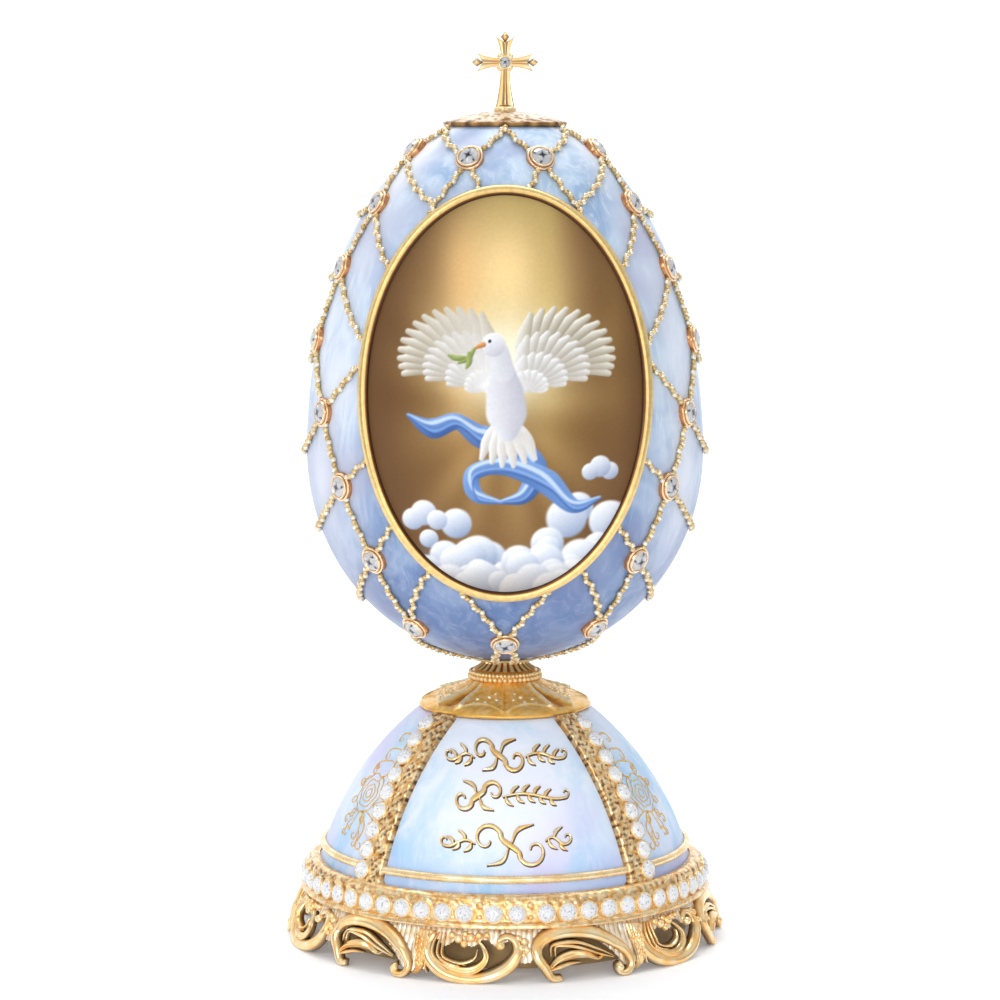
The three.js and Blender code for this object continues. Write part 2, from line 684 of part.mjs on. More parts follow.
// The flat pad under an open scroll, which carries the weight
function footPad(elementDeg) {
  const { point } = onFoot(elementDeg, 0, 0);
  return new THREE.BoxGeometry(FOOT_PAD_WIDTH, 2 * SCROLL_RADIUS, 1.6)
    .translate(0, 0, 0.4)
    .rotateZ(rad(elementDeg))
    .translate(point.x, point.y, 0);
}

// The cast foot: a cove over open scrolls and waves that stand on the ground
function makeFoot() {
  const profile = [
    [COVE_TOP_RADIUS - COVE_THICKNESS, COVE_TOP_Z],
    [COVE_BOTTOM_RADIUS - COVE_THICKNESS, COVE_BOTTOM_Z],
    [COVE_BOTTOM_RADIUS, COVE_BOTTOM_Z],
    [COVE_TOP_RADIUS, COVE_TOP_Z],
    [COVE_TOP_RADIUS - COVE_THICKNESS, COVE_TOP_Z],
  ];
  const pieces = [lathe(profile, 30)];
  // The places are in twenty-fourths of an element's width, and in tenths of the foot's height
  const across = (2 * Math.PI * COVE_BOTTOM_RADIUS) / (2 * SCROLL_UNITS * 23.4);
  const up = COVE_TOP_Z / 10.6;
  const low = SCROLL_RADIUS * 0.35; // low enough for the ground to cut a flat foot
  const stroke = (degrees, places, thickness, steps) => {
    const sized = places.map(([x, z]) => [x * across, Math.max(z * up, low)]);
    pieces.push(scroll(degrees, sized, thickness, steps));
  };
  const openScroll = [
    [-8.2, 9.6], [-9.5, 7.2], [-9.0, 4.4], [-5.6, 1.9], [0, 0], [5.6, 1.9], [9.2, 4.6], [9.4, 8.2], [6.4, 8.9],
  ];
  const openLeaf = [[-6.8, 4.4], [-3.2, 2.7], [0.6, 2.7], [3.1, 4.6], [2.2, 7.6], [0.9, 9.0]];
  const wave = [
    [-5.0, 0], [-7.6, 0.9], [-9.6, 4.4], [-9.4, 8.0], [-4.4, 9.9], [2.0, 9.5], [7.6, 6.9], [10.6, 3.4], [9.2, 0],
    [7.2, 1.8],
  ];
  const waveLeaf = [[-9.0, 3.2], [-5.0, 4.9], [-1.0, 5.3], [3.4, 4.2], [7.0, 6.8]];
  for (let i = 0; i < SCROLL_UNITS; i++) {
    const openDeg = SCROLL_START_DEG + (360 / SCROLL_UNITS) * i;
    const waveDeg = openDeg + 180 / SCROLL_UNITS;
    pieces.push(footPad(openDeg));
    stroke(openDeg, openScroll, SCROLL_RADIUS, 9);
    stroke(openDeg, openLeaf, SCROLL_RADIUS * 0.8, 4);
    stroke(waveDeg, wave, SCROLL_RADIUS, 10);
    stroke(waveDeg, waveLeaf, SCROLL_RADIUS * 0.8, 4);
    for (const side of [-1, 1]) {
      const between = waveDeg + (side * 90) / SCROLL_UNITS;
      stroke(between, [[0, 9.2], [0.3, 5.5], [-0.6, 2.6]], SCROLL_RADIUS * 1.3, 2);
    }
  }
  const ground = new THREE.BoxGeometry(4 * FOOT_RADIUS, 4 * FOOT_RADIUS, FOOT_HEIGHT).translate(0, 0, -FOOT_HEIGHT / 2);
  return joined(pieces, ground);
}

place("base_drum", makeDrum(), bronzeBrown);
place("foot_skirt", makeFoot(), gold);
place("porcelain_dome", makeDome(), pearlBlue);
place("dome_frame", makeDomeFrame(), gold);
place("neck_pedestal", makeNeck(), gold);
place("porcelain_egg", makeEgg(), pearlBlue);
place("picture_frame", makePictureFrame(), gold);
place("bead_lattice", makeLattice(), paleGold);
place("egg_cap", makeCap(), paleGold);

const finial = new THREE.Group();
finial.position.set(0, 0, CROSS_BOTTOM_Z);
part.add(finial);
const cross = makeCross();
place("cross", cross.geometry, gold, finial);
const crossStone = disc(CROSS_STONE_RADIUS, CROSS_STONE_RADIUS * 0.8, 0.6, 6).rotateX(Math.PI);
place("cross_stone", crossStone, crystal, finial).position.set(0, -CROSS_THICKNESS / 2, cross.centre);

bezelPlaces().forEach((seat, i) => {
  const cut = disc(CRYSTAL_RADIUS, CRYSTAL_HEIGHT, 0.6, 5).translate(0, BEZEL_HEIGHT + GAP, 0);
  place(`crystal_${String(i + 1).padStart(2, "0")}`, standOnEgg(cut, seat), crystal);
});

export default part;
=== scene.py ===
"""The look of a porcelain egg ornament on its stand. Sizes are in millimetres until a mesh is made."""

import math
import random

import bmesh
import bpy
import numpy as np
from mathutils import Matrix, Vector


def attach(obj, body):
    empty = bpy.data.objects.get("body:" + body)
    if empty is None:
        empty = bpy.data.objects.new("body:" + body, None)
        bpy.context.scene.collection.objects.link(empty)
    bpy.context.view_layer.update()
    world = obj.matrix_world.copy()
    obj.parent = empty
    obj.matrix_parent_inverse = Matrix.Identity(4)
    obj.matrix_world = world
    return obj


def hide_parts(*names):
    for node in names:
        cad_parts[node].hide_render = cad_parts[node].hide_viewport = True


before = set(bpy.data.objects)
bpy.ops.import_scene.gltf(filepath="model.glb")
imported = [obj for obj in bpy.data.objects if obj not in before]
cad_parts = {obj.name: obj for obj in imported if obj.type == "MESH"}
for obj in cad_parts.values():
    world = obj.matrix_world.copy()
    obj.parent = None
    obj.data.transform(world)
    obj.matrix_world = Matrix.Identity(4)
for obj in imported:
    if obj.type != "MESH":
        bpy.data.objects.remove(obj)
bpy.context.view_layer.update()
MM = 0.001
rng = random.Random(11)

# Sizes, the same as the solids'
EGG_RADIUS, EGG_WIDEST_Z, EGG_UPPER_AXIS, EGG_LOWER_AXIS = 43.1, 106.6, 73.2, 45.7
EGG_BOTTOM_Z = EGG_WIDEST_Z - EGG_LOWER_AXIS
CAP_RADIUS = 13.05
EGG_TOP_Z = EGG_WIDEST_Z + EGG_UPPER_AXIS * math.sqrt(1 - ((CAP_RADIUS - 0.4) / EGG_RADIUS) ** 2)
CAP_BOTTOM_Z = EGG_TOP_Z + 0.3
CAP_TOP_Z = CAP_BOTTOM_Z + 3.0
CROSS_BOTTOM_Z = CAP_TOP_Z + 0.3
CROSS_HEIGHT = 16.8
PICTURE_HALF_WIDTH, PICTURE_HALF_HEIGHT, PICTURE_CENTRE_Z = 30.4, 42.9, 121.4
PICTURE_FRAME_WIDTH = 1.9
DOME_TOP_Z = 50.2
DOME_ARC_RADIUS, DOME_ARC_INSET = 64.0, 21.1
BAND_BOTTOM_Z, BAND_TOP_Z = 10.9, 17.3
HOOP_Z = 20.2
RIB_TURNS = (45, 135, 225, 315)
RIB_STONE_ASIDE = 1.95
FOOT_KNEE_Z, FOOT_KNEE_RADIUS, FOOT_ROUND_RADIUS = 6.4, 45.6, 46.3
FOOT_FLARE, COVE_DEPTH, COVE_HEIGHT = 1.6, 2.2, 4.2
FOOT_PERIOD, SCROLL_TURN = 60.0, -9.0


def egg_r(z):
    z = np.asarray(z, float)
    axis = np.where(z > EGG_WIDEST_Z, EGG_UPPER_AXIS, EGG_LOWER_AXIS)
    return EGG_RADIUS * np.sqrt(np.clip(1 - ((z - EGG_WIDEST_Z) / axis) ** 2, 0, 1))


def dome_r(z):
    z = np.asarray(z, float)
    return np.sqrt(DOME_ARC_RADIUS**2 - z * z) - DOME_ARC_INSET


def foot_r(z):
    """The flared cone that the foot's scrolls lie on, below a cove that narrows towards the band."""
    above = np.asarray(z, float) - FOOT_KNEE_Z
    cone = FOOT_KNEE_RADIUS - FOOT_FLARE * above / FOOT_KNEE_Z
    cove = FOOT_KNEE_RADIUS - COVE_DEPTH * (np.clip(above, 0, None) / COVE_HEIGHT) ** 0.8
    return np.where(above < 0, cone, cove)


def around(angle, r, z):
    """Points from an angle in radians from the front, a radius and a height."""
    angle, r, z = np.broadcast_arrays(angle, r, z)
    return np.stack([r * np.sin(angle), -r * np.cos(angle), z], -1)


def angle_of(verts):
    return np.arctan2(verts[:, 0], -verts[:, 1])


def on_surface(radius_at, turn, z, out=0.0):
    """Points on a surface of revolution, turned in degrees from the front, and their normals."""
    angle, z, out = np.broadcast_arrays(np.radians(turn), np.asarray(z, float), np.asarray(out, float))
    slope = (radius_at(z + 0.02) - radius_at(z - 0.02)) / 0.04
    normal = around(angle, 1.0, -slope)
    normal /= np.linalg.norm(normal, axis=-1, keepdims=True)
    return around(angle, radius_at(z), z) + normal * out[..., None], normal


def wave_noise(points, scale, seed=0, octaves=3):
    """Smooth noise from about -1 to 1, made of turned sine waves, so that it is the same on each run."""
    source = np.random.default_rng(seed)
    total = np.zeros(points.shape[:-1])
    weight = 0.0
    for octave in range(octaves):
        for _ in range(5):
            direction = source.normal(size=points.shape[-1])
            direction *= 2**octave * 2 * math.pi / scale / np.linalg.norm(direction)
            total += np.sin(points @ direction + source.uniform(0, 6.28)) / 2**octave
            weight += 0.5 / 2**octave
    return total / weight


def smooth(a, b, x):
    t = np.clip((x - a) / (b - a), 0, 1)
    return t * t * (3 - 2 * t)


class Heap:
    """Vertices and faces of one piece, gathered from many small shapes, with tones for its materials."""

    def __init__(self):
        self.verts, self.faces, self.slots, self.tones, self.count = [], [], [], [], 0

    def add(self, verts, faces, slot=0, tone=0.0):
        verts = np.asarray(verts, float).reshape(-1, 3)
        self.verts.append(verts)
        self.faces += [tuple(i + self.count for i in face) for face in faces]
        self.slots += [slot] * len(faces)
        self.tones.append(np.broadcast_to(np.asarray(tone, float), (len(verts),)))
        self.count += len(verts)

    def ball(self, place, size, tone=0.0):
        """A small ball of one radius, or of three along the axes."""
        self.add(BALL[0] * size + place, BALL[1], 0, tone)

    def piece(self, name, materials, slot, replaces=(), flat_slots=()):
        """Makes the object. The faces of the materials in flat_slots are shaded flat."""
        mesh = bpy.data.meshes.new(name)
        mesh.from_pydata((np.concatenate(self.verts) * MM).tolist(), [], self.faces)
        for material in materials:
            mesh.materials.append(material)
        mesh.polygons.foreach_set("material_index", np.array(self.slots, np.int32))
        mesh.polygons.foreach_set("use_smooth", ~np.isin(self.slots, list(flat_slots)))
        tones = np.concatenate(self.tones).astype(np.float32)
        mesh.attributes.new("tone", "FLOAT", "POINT").data.foreach_set("value", tones)
        bm = bmesh.new()
        bm.from_mesh(mesh)
        bmesh.ops.recalc_face_normals(bm, faces=bm.faces)
        bm.to_mesh(mesh)
        bm.free()
        obj = bpy.data.objects.new(name, mesh)
        bpy.context.scene.collection.objects.link(obj)
        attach(obj, "root")
        if replaces:
            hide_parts(*replaces)
        return obj


def grid_faces(rows, columns, closed=True):
    """Quads of a grid of rows, whose columns go once round if closed."""
    i, j = np.meshgrid(np.arange(rows - 1), np.arange(columns if closed else columns - 1), indexing="ij")
    k = (j + 1) % columns
    quads = np.stack([i * columns + j, i * columns + k, (i + 1) * columns + k, (i + 1) * columns + j], -1)
    return quads.reshape(-1, 4)


def renumber(quads):
    """The vertices that some of a grid's quads use, and those quads with the vertices numbered anew."""
    used, faces = np.unique(quads, return_inverse=True)
    return used, faces.reshape(-1, 4).tolist()


def lathe(profile, segments):
    """A surface of revolution from [radius, height] pairs."""
    profile = np.asarray(profile, float)
    angle = np.linspace(0, 2 * math.pi, segments, endpoint=False)
    verts = around(angle, profile[:, :1], profile[:, 1:]).reshape(-1, 3)
    return verts, grid_faces(len(profile), segments).tolist()


def smooth_line(points, count):
    """Evenly spaced points on a smooth curve through a few given ones, of any number of coordinates."""
    points = np.asarray(points, float)
    p = np.concatenate([[2 * points[0] - points[1]], points, [2 * points[-1] - points[-2]]])
    t = np.linspace(0, 1, 24, endpoint=False)[:, None]
    parts = []
    for a, b, c, d in zip(p[:-3], p[1:-2], p[2:-1], p[3:]):
        bend = (2 * a - 5 * b + 4 * c - d) * t**2 + (3 * b - a - 3 * c + d) * t**3
        parts.append(0.5 * (2 * b + (c - a) * t + bend))
    fine = np.concatenate([*parts, points[-1:]])
    run = np.concatenate([[0], np.cumsum(np.linalg.norm(np.diff(fine[:, :2], axis=0), axis=1))])
    wanted = np.linspace(0, run[-1], count)
    return np.stack([np.interp(wanted, run, fine[:, k]) for k in range(fine.shape[1])], -1)


def spiral(centre, radius, start_deg, turns, end_radius=0.25, count=10):
    """Points [x, y] that wind in from a radius; positive turns run against the clock."""
    t = np.linspace(0, 1, count)
    r = radius + (end_radius * radius - radius) * t
    angle = math.radians(start_deg) + 2 * math.pi * turns * t
    return np.stack([centre[0] + r * np.cos(angle), centre[1] + r * np.sin(angle)], -1)


def spread(values, count):
    """A few values, evened out over a number of steps."""
    return np.interp(np.linspace(0, 1, count), np.linspace(0, 1, len(values)), values)


def relief(place, line, widths, heights, base, ridges, points_across):
    """A raised stroke on the line of [x, y] points. place turns flat points and heights into space."""
    line = np.asarray(line, float)
    count, n = len(line), points_across
    widths, heights = spread(widths, count), spread(heights, count)
    along = np.gradient(line, axis=0)
    along /= np.linalg.norm(along, axis=1, keepdims=True) + 1e-9
    across = np.stack([-along[:, 1], along[:, 0]], -1)
    u = np.linspace(-1, 1, n)
    crown = np.sqrt(np.clip(1 - u * u, 0, 1))
    if ridges:
        crown = crown * (1 + 0.16 * np.cos(u * math.pi * ridges))
    flat = line[:, None, :] + across[:, None, :] * (u[None, :, None] * widths[:, None, None] / 2)
    height = base + crown[None, :] * (heights[:, None] - base)
    verts = place(flat[..., 0], flat[..., 1], height).reshape(-1, 3)
    last = (count - 1) * n
    ends = [tuple(range(n - 1, -1, -1)), tuple(range(last, last + n))]
    under = [(i, i + n, i + 2 * n - 1, i + n - 1) for i in range(0, last, n)]
    # Painted shade: the tone rises along both edges of the stroke, where it meets the surface.
    tones = np.tile(0.85 * smooth(0.55, 1.0, np.abs(u)), count)
    return verts, grid_faces(count, n, closed=False).tolist() + ends + under, 0, tones


def ball_mesh(subdivisions):
    bm = bmesh.new()
    bmesh.ops.create_icosphere(bm, subdivisions=subdivisions, radius=1)
    verts = np.array([v.co for v in bm.verts])
    faces = [tuple(v.index for v in f.verts) for f in bm.faces]
    bm.free()
    return verts, faces


BALL, SMALL_BALL = ball_mesh(2), ball_mesh(1)


def frame_of(normal):
    """Two axes across a normal, and the normal itself."""
    side = np.cross([0, 0, 1], normal)
    side /= np.linalg.norm(side) + 1e-12
    return np.stack([side, np.cross(normal, side), normal])


def stand(verts, point, normal, turn=0.0):
    """Sets a small shape, made with +Z out, on a point of a surface."""
    c, s = math.cos(turn), math.sin(turn)
    verts = verts @ np.array([[c, s, 0], [-s, c, 0], [0, 0, 1]])
    return verts @ frame_of(normal) + point


# Materials
def material(name, **values):
    """A material with plain values on its shader. Returns it with its node tree and its shader."""
    made = bpy.data.materials.new(name)
    made.use_nodes = True
    shader = made.node_tree.nodes["Principled BSDF"]
    for key, value in values.items():
        shader.inputs[key.replace("_", " ")].default_value = value
    return made, made.node_tree, shader


def from_hex(text):
    return np.array([int(text[i : i + 2], 16) / 255 for i in (0, 2, 4)])


def linear(values):
    """Linear colours from sRGB ones."""
    return np.where(values <= 0.04045, values / 12.92, ((values + 0.055) / 1.055) ** 2.4)


def rgba(colour):
    """A colour for a socket, from a hex code, a grey or linear red, green and blue."""
    if isinstance(colour, str):
        colour = linear(from_hex(colour))
    elif isinstance(colour, float):
        colour = (colour,) * 3
    return (*colour, 1)


def new_node(tree, kind, **inputs):
    """A node whose inputs are set to plain values or linked to sockets."""
    node = tree.nodes.new(kind)
    for key, value in inputs.items():
        socket = node.inputs[key.replace("_", " ")]
        if isinstance(value, bpy.types.NodeSocket):
            tree.links.new(value, socket)
        else:
            socket.default_value = value
    return node


def noise_node(tree, scale, detail=4.0, roughness=0.55, stretch=(1, 1, 1), distortion=0.0):
    coords = new_node(tree, "ShaderNodeTexCoord").outputs["Object"]
    mapped = new_node(tree, "ShaderNodeMapping", Vector=coords, Scale=stretch).outputs["Vector"]
    values = {"Scale": scale, "Detail": detail, "Roughness": roughness, "Distortion": distortion}
    return new_node(tree, "ShaderNodeTexNoise", Vector=mapped, **values).outputs["Fac"]


def ramp_node(tree, factor, stops):
    """A colour ramp; its stops are pairs of a position and a colour."""
    node = new_node(tree, "ShaderNodeValToRGB", Fac=factor)
    ramp = node.color_ramp
    while len(ramp.elements) < len(stops):
        ramp.elements.new(0.5)
    for element, (position, colour) in zip(ramp.elements, stops):
        element.position = position
        element.color = rgba(colour)
    return node.outputs["Color"]


def mix_node(tree, factor, a, b, blend="MIX"):
    """Mixes the colour of socket a with b, a socket or a hex code."""
    node = tree.nodes.new("ShaderNodeMix")
    node.data_type = "RGBA"
    node.blend_type = blend
    share, first, second = node.inputs[0], node.inputs[6], node.inputs[7]
    tree.links.new(a, first)
    if isinstance(b, str):
        second.default_value = rgba(b)
    else:
        tree.links.new(b, second)
    if isinstance(factor, float):
        share.default_value = factor
    else:
        tree.links.new(factor, share)
    return node.outputs[2]


def bump_node(tree, shader, height, strength, distance):
    node = new_node(tree, "ShaderNodeBump", Height=height, Strength=strength, Distance=distance * MM)
    tree.links.new(node.outputs["Normal"], shader.inputs["Normal"])


def tone_node(tree):
    """The mesh's own tone values, from 0 to 1."""
    node = tree.nodes.new("ShaderNodeAttribute")
    node.attribute_name = "tone"
    return node.outputs["Fac"]


def height_node(tree, low, high):
    """From 0 to 1 as the height goes from low to high, in millimetres."""
    coords = new_node(tree, "ShaderNodeTexCoord").outputs["Object"]
    height = new_node(tree, "ShaderNodeSeparateXYZ", Vector=coords).outputs["Z"]
    node = new_node(tree, "ShaderNodeMapRange", Value=height, From_Min=low * MM, From_Max=high * MM)
    node.interpolation_type = "SMOOTHSTEP"
    return node.outputs["Result"]


def pearl_material(name, clouds, tint, shaded, low, high, coat_roughness):
    """Pearl glaze: pale clouds with fine streaks under a clear coat, with painted shade towards the bottom
    and a painted near-white sheen where the mesh's tone is high.
    """
    made, tree, shader = material(
        name, Roughness=0.42, Specular_IOR_Level=0.28, Coat_Weight=0.2, Coat_Roughness=coat_roughness
    )
    dark, mid, light = clouds
    noise = noise_node(tree, 55, 3, 0.5, (1, 1, 0.8), 1.2)
    colour = ramp_node(tree, noise, [(0.32, dark), (0.46, mid), (0.58, light), (0.72, mid)])
    streaks = noise_node(tree, 120, 5, 0.65, (1.6, 1.6, 0.35), 2.5)
    colour = mix_node(tree, ramp_node(tree, streaks, [(0.48, 0.0), (0.75, 0.8)]), colour, "E6EFFB")
    patches = noise_node(tree, 38, 2, 0.5, (1, 1, 1), 0.6)
    colour = mix_node(tree, ramp_node(tree, patches, [(0.5, 0.0), (0.68, 1.0)]), colour, tint)
    # Painted shade: the colour is darker towards the bottom, between the low and high heights.
    depth = ramp_node(tree, height_node(tree, low, high), [(0.0, shaded), (1.0, 1.0)])
    colour = mix_node(tree, 1.0, colour, depth, "MULTIPLY")
    # Painted highlight: near-white wherever the mesh's tone is high.
    tree.links.new(mix_node(tree, tone_node(tree), colour, "F4F6FD"), shader.inputs["Base Color"])
    return made


def gold_material(name, low, high, roughness, grain, bump, distance, metallic):
    """Gilt metal: darker in its patches, with a painted brown shade where the mesh's tone is high, and a fine
    cast grain.
    """
    made, tree, shader = material(name, Metallic=metallic)
    patches = noise_node(tree, grain, 4, 0.6)
    colour = ramp_node(tree, patches, [(0.35, low), (0.62, high)])
    # Painted shade: dark brown where the mesh's tone marks hollows, grooves and edges.
    tree.links.new(mix_node(tree, tone_node(tree), colour, "6A3C12"), shader.inputs["Base Color"])
    rough = ramp_node(tree, patches, [(0.3, roughness + 0.12), (0.7, max(0.03, roughness - 0.05))])
    tree.links.new(rough, shader.inputs["Roughness"])
    bump_node(tree, shader, noise_node(tree, grain * 4, 3), bump, distance)
    return made


def toned_material(name, stops, roughness, metallic, bump):
    """A material whose colour follows the mesh's tone values, with a little noise."""
    made, tree, shader = material(name, Roughness=roughness, Metallic=metallic)
    grain = noise_node(tree, 900, 3)
    shade = ramp_node(tree, grain, [(0.3, 0.82), (0.6, 1.0)])
    colour = mix_node(tree, 1.0, ramp_node(tree, tone_node(tree), stops), shade, "MULTIPLY")
    tree.links.new(colour, shader.inputs["Base Color"])
    bump_node(tree, shader, grain, bump, 0.04)
    return made


EGG_PEARL = pearl_material("EggPearl", ("87A6CF", "9FBCDC", "C3D8EC"), "A9B3D2", "A6AEC8", 66, 138, 0.14)
DOME_PEARL = pearl_material("DomePearl", ("A4D4F2", "C2DDF5", "DFEBF9"), "CFCCEF", "E4E8F6", 10, 40, 0.42)

# Each gilt: its two colours, roughness, grain, the grain's bump and depth, and how metallic it is
GOLD = gold_material("GiltPolished", "FFCB7C", "FFE8B8", 0.14, 300, 0.05, 0.04, 0.62)
GOLD_HAMMERED = gold_material("GiltHammered", "E2A656", "FFE8B8", 0.22, 700, 0.4, 0.1, 0.6)
GOLD_COVE = gold_material("GiltCove", "F2D2A4", "FFF8E6", 0.28, 620, 0.25, 0.06, 0.35)
GOLD_SATIN = gold_material("GiltSatin", "EEC688", "FFE8BA", 0.22, 300, 0.05, 0.03, 0.55)
GOLD_PAINTED = gold_material("GiltLine", "E2A93E", "F0C667", 0.3, 700, 0.05, 0.03, 0.2)
BRONZE = gold_material("DrumBronze", "93754A", "AE9062", 0.5, 90, 0.1, 0.05, 0.1)

# Colours from tone 0 to tone 1, then roughness, how metallic and bump
# The neck's colours: a painted highlight at tone 0, the gilt at 0.3 and painted shade towards 1.
NECK_HIGHLIGHT_SHADE_STOPS = [(0.0, "FFF1C8"), (0.3, "FFC662"), (0.6, "DC902E"), (1.0, "643810")]
FRAME_STOPS = [(0.0, "F0D08C"), (0.45, "E2B769"), (0.75, "8A5A22"), (1.0, "4A2A10")]
# The bezels' colours, from a painted highlight at tone 0 to painted shade at 1.
BEZEL_STOPS = [(0.0, "FFEDCC"), (0.45, "F5C28C"), (0.82, "C98A5A"), (1.0, "78422A")]
BEAD_STOPS = [(0.0, "CBA662"), (0.5, "EED6A2"), (1.0, "FFF4E0")]
CAP_STOPS = [(0.0, "F0E4D2"), (0.35, "E2C8A0"), (0.65, "B98848"), (1.0, "6E4A1C")]
# The foil's colours, from a painted dark reflection at tone 0 to a bright one at 1.
FOIL_STOPS = [(0.0, "15161A"), (0.5, "B4B8C2"), (1.0, "FFFFFF")]
WHITE_FOIL_STOPS = [(0.0, "A9ADB8"), (0.6, "E9ECF2"), (1.0, "FFFFFF")]
GOLD_SOFT = toned_material("GiltCast", NECK_HIGHLIGHT_SHADE_STOPS, 0.22, 0.38, 0.15)
GOLD_FRAME = toned_material("GiltFrame", FRAME_STOPS, 0.28, 0.5, 0.03)
ROSE_GOLD = toned_material("GiltBezel", BEZEL_STOPS, 0.2, 0.7, 0.05)
BEADS = toned_material("BeadGilt", BEAD_STOPS, 0.2, 0.45, 0.05)
CAP_PEARL = toned_material("CapFiligree", CAP_STOPS, 0.3, 0.25, 0.1)
FOIL = toned_material("StoneFoil", FOIL_STOPS, 0.3, 0.0, 0.02)
WHITE_FOIL = toned_material("WhiteFoil", WHITE_FOIL_STOPS, 0.35, 0.25, 0.02)
# The colour of the painted shadow under the front flourishes.
LINE_DARK = toned_material("LineShade", [(0.0, "5A4326"), (1.0, "3E2C18")], 0.4, 0.2, 0.02)


def crystal_material():
    """Cut glass, clear by plain values on its shader; its tones paint some facets dark and others bright, as
    painted reflections.
    """
    made, tree, shader = material(
        "Crystal", Roughness=0.02, IOR=1.55, Transmission_Weight=0.5, Specular_IOR_Level=0.8
    )
    facets = ramp_node(tree, tone_node(tree), [(0.2, "24262E"), (0.46, "E2E5EC"), (0.62, 1.0)])
    # Fine darker specks at random.
    fine_specks = ramp_node(tree, noise_node(tree, 1500, 2), [(0.3, (0.8, 0.82, 0.86)), (0.55, 1.0)])
    tree.links.new(mix_node(tree, 1.0, facets, fine_specks, "MULTIPLY"), shader.inputs["Base Color"])
    return made


CRYSTAL = crystal_material()


def pave_material():
    """Small white stones: little clear, with painted dark flecks of reflection, scattered at random."""
    made, tree, shader = material("PaveStone", Roughness=0.12, IOR=1.55, Transmission_Weight=0.25)
    flecks = noise_node(tree, 2300, 2, 0.5)
    colour = ramp_node(tree, flecks, [(0.3, "8D93A2"), (0.4, "F4F6FA"), (0.5, 1.0)])
    tree.links.new(colour, shader.inputs["Base Color"])
    return made


STONE = pave_material()


# The lattice: rows of the side chains, from the cap down, as on the solids
CHAIN = [
    (72, 171.2), (64.3, 160.1), (71, 146.5), (78, 131.2),
    (63, 116.4), (52.5, 101.5), (45, 86.3), (44.5, 71.0),
]
WAIST_ROW = 3
SIDE_DROP, UPPER_SIDE_DROP = 11.6, 2.6
FOOT_RING_Z = 61.6
LATTICE_TOP_Z = CAP_BOTTOM_Z - 1.0
BEAD_STEP, BEZEL_REACH = 0.98, 3.0


def outside_frame(turn, z):
    x = egg_r(z) * math.sin(math.radians(turn))
    return math.hypot(x / PICTURE_HALF_WIDTH, (z - PICTURE_CENTRE_Z) / PICTURE_HALF_HEIGHT) > 1


def to_frame(start, turn, z):
    """The last point outside the oval frame on the way from a place towards another."""
    share = 0.0
    place = start
    while share < 1 and outside_frame(*place):
        share += 0.005
        place = (start[0] + (turn - start[0]) * share, start[1] + (z - start[1]) * share)
    return place


def lattice_links():
    """Strands as lists of (turn, z), and the places of the bezels."""
    cap_middle, cap_side = (0, LATTICE_TOP_Z), (60, LATTICE_TOP_Z)
    pair, crossing, low = (19.5, 169.6), (29.8, 160), (0, 68.1)
    chain = [cap_side, *CHAIN, (85, FOOT_RING_Z)]
    chain_links = [list(link) for link in zip(chain[:-1], chain[1:])]
    side_links = []
    for row in range(1, len(CHAIN) - 1):
        turn, z = CHAIN[row]
        drop = UPPER_SIDE_DROP if row < WAIST_ROW else SIDE_DROP * min(1, (90 - turn) / 36 + 0.1)
        start = math.sin(math.radians(turn))
        turns = np.linspace(turn, 180 - turn, 13)
        side_links.append([(a, z - drop * (math.sin(math.radians(a)) - start) / (1 - start)) for a in turns])
    targets = [(1, 30, 140), (2, 30, 122), (4, 30, 138), (5, 30, 114), (6, 26, 100), (7, 14, 92)]
    front_links = [[CHAIN[row], to_frame(CHAIN[row], turn, z)] for row, turn, z in targets]
    front_links += [
        [cap_middle, pair],
        [cap_side, pair],
        [pair, to_frame(pair, 6, 160)],
        [pair, crossing, to_frame(crossing, 34, 150)],
        [CHAIN[0], crossing],
        [low, to_frame(low, 26, 90)],
        [low, (12, FOOT_RING_Z)],
    ]
    last = len(CHAIN) - 1
    middle = [(0, z) for _, z in CHAIN]
    top = (CHAIN[0][0] / 2, CHAIN[0][1])
    back_links = [[cap_middle, top], [top, middle[1]], [top, CHAIN[1]], [middle[last], (12, FOOT_RING_Z)]]
    for row in range(2, last, 2):
        knot = (CHAIN[row][0] / 2, CHAIN[row][1])
        back_links.append([middle[row - 1], knot, CHAIN[row + 1]])
        back_links.append([CHAIN[row - 1], knot, middle[row + 1]])
    links = []
    for side in (1, -1):
        links += [[(side * t, z) for t, z in link] for link in chain_links + side_links + front_links]
        links += [[(180 - side * t, z) for t, z in link] for link in chain_links + back_links]
    bezels = [(side * t, z) for side in (1, -1) for t, z in [*CHAIN, pair]] + [low]
    bezels += [(180 - side * t, z) for side in (1, -1) for t, z in [*CHAIN, top]]
    bezels += [(180, CHAIN[row][1]) for row in range(1, last + 1, 2)]
    return links, bezels


LINKS, BEZELS = lattice_links()
BEZEL_POINTS = np.array([on_surface(egg_r, t, z)[0] for t, z in BEZELS])


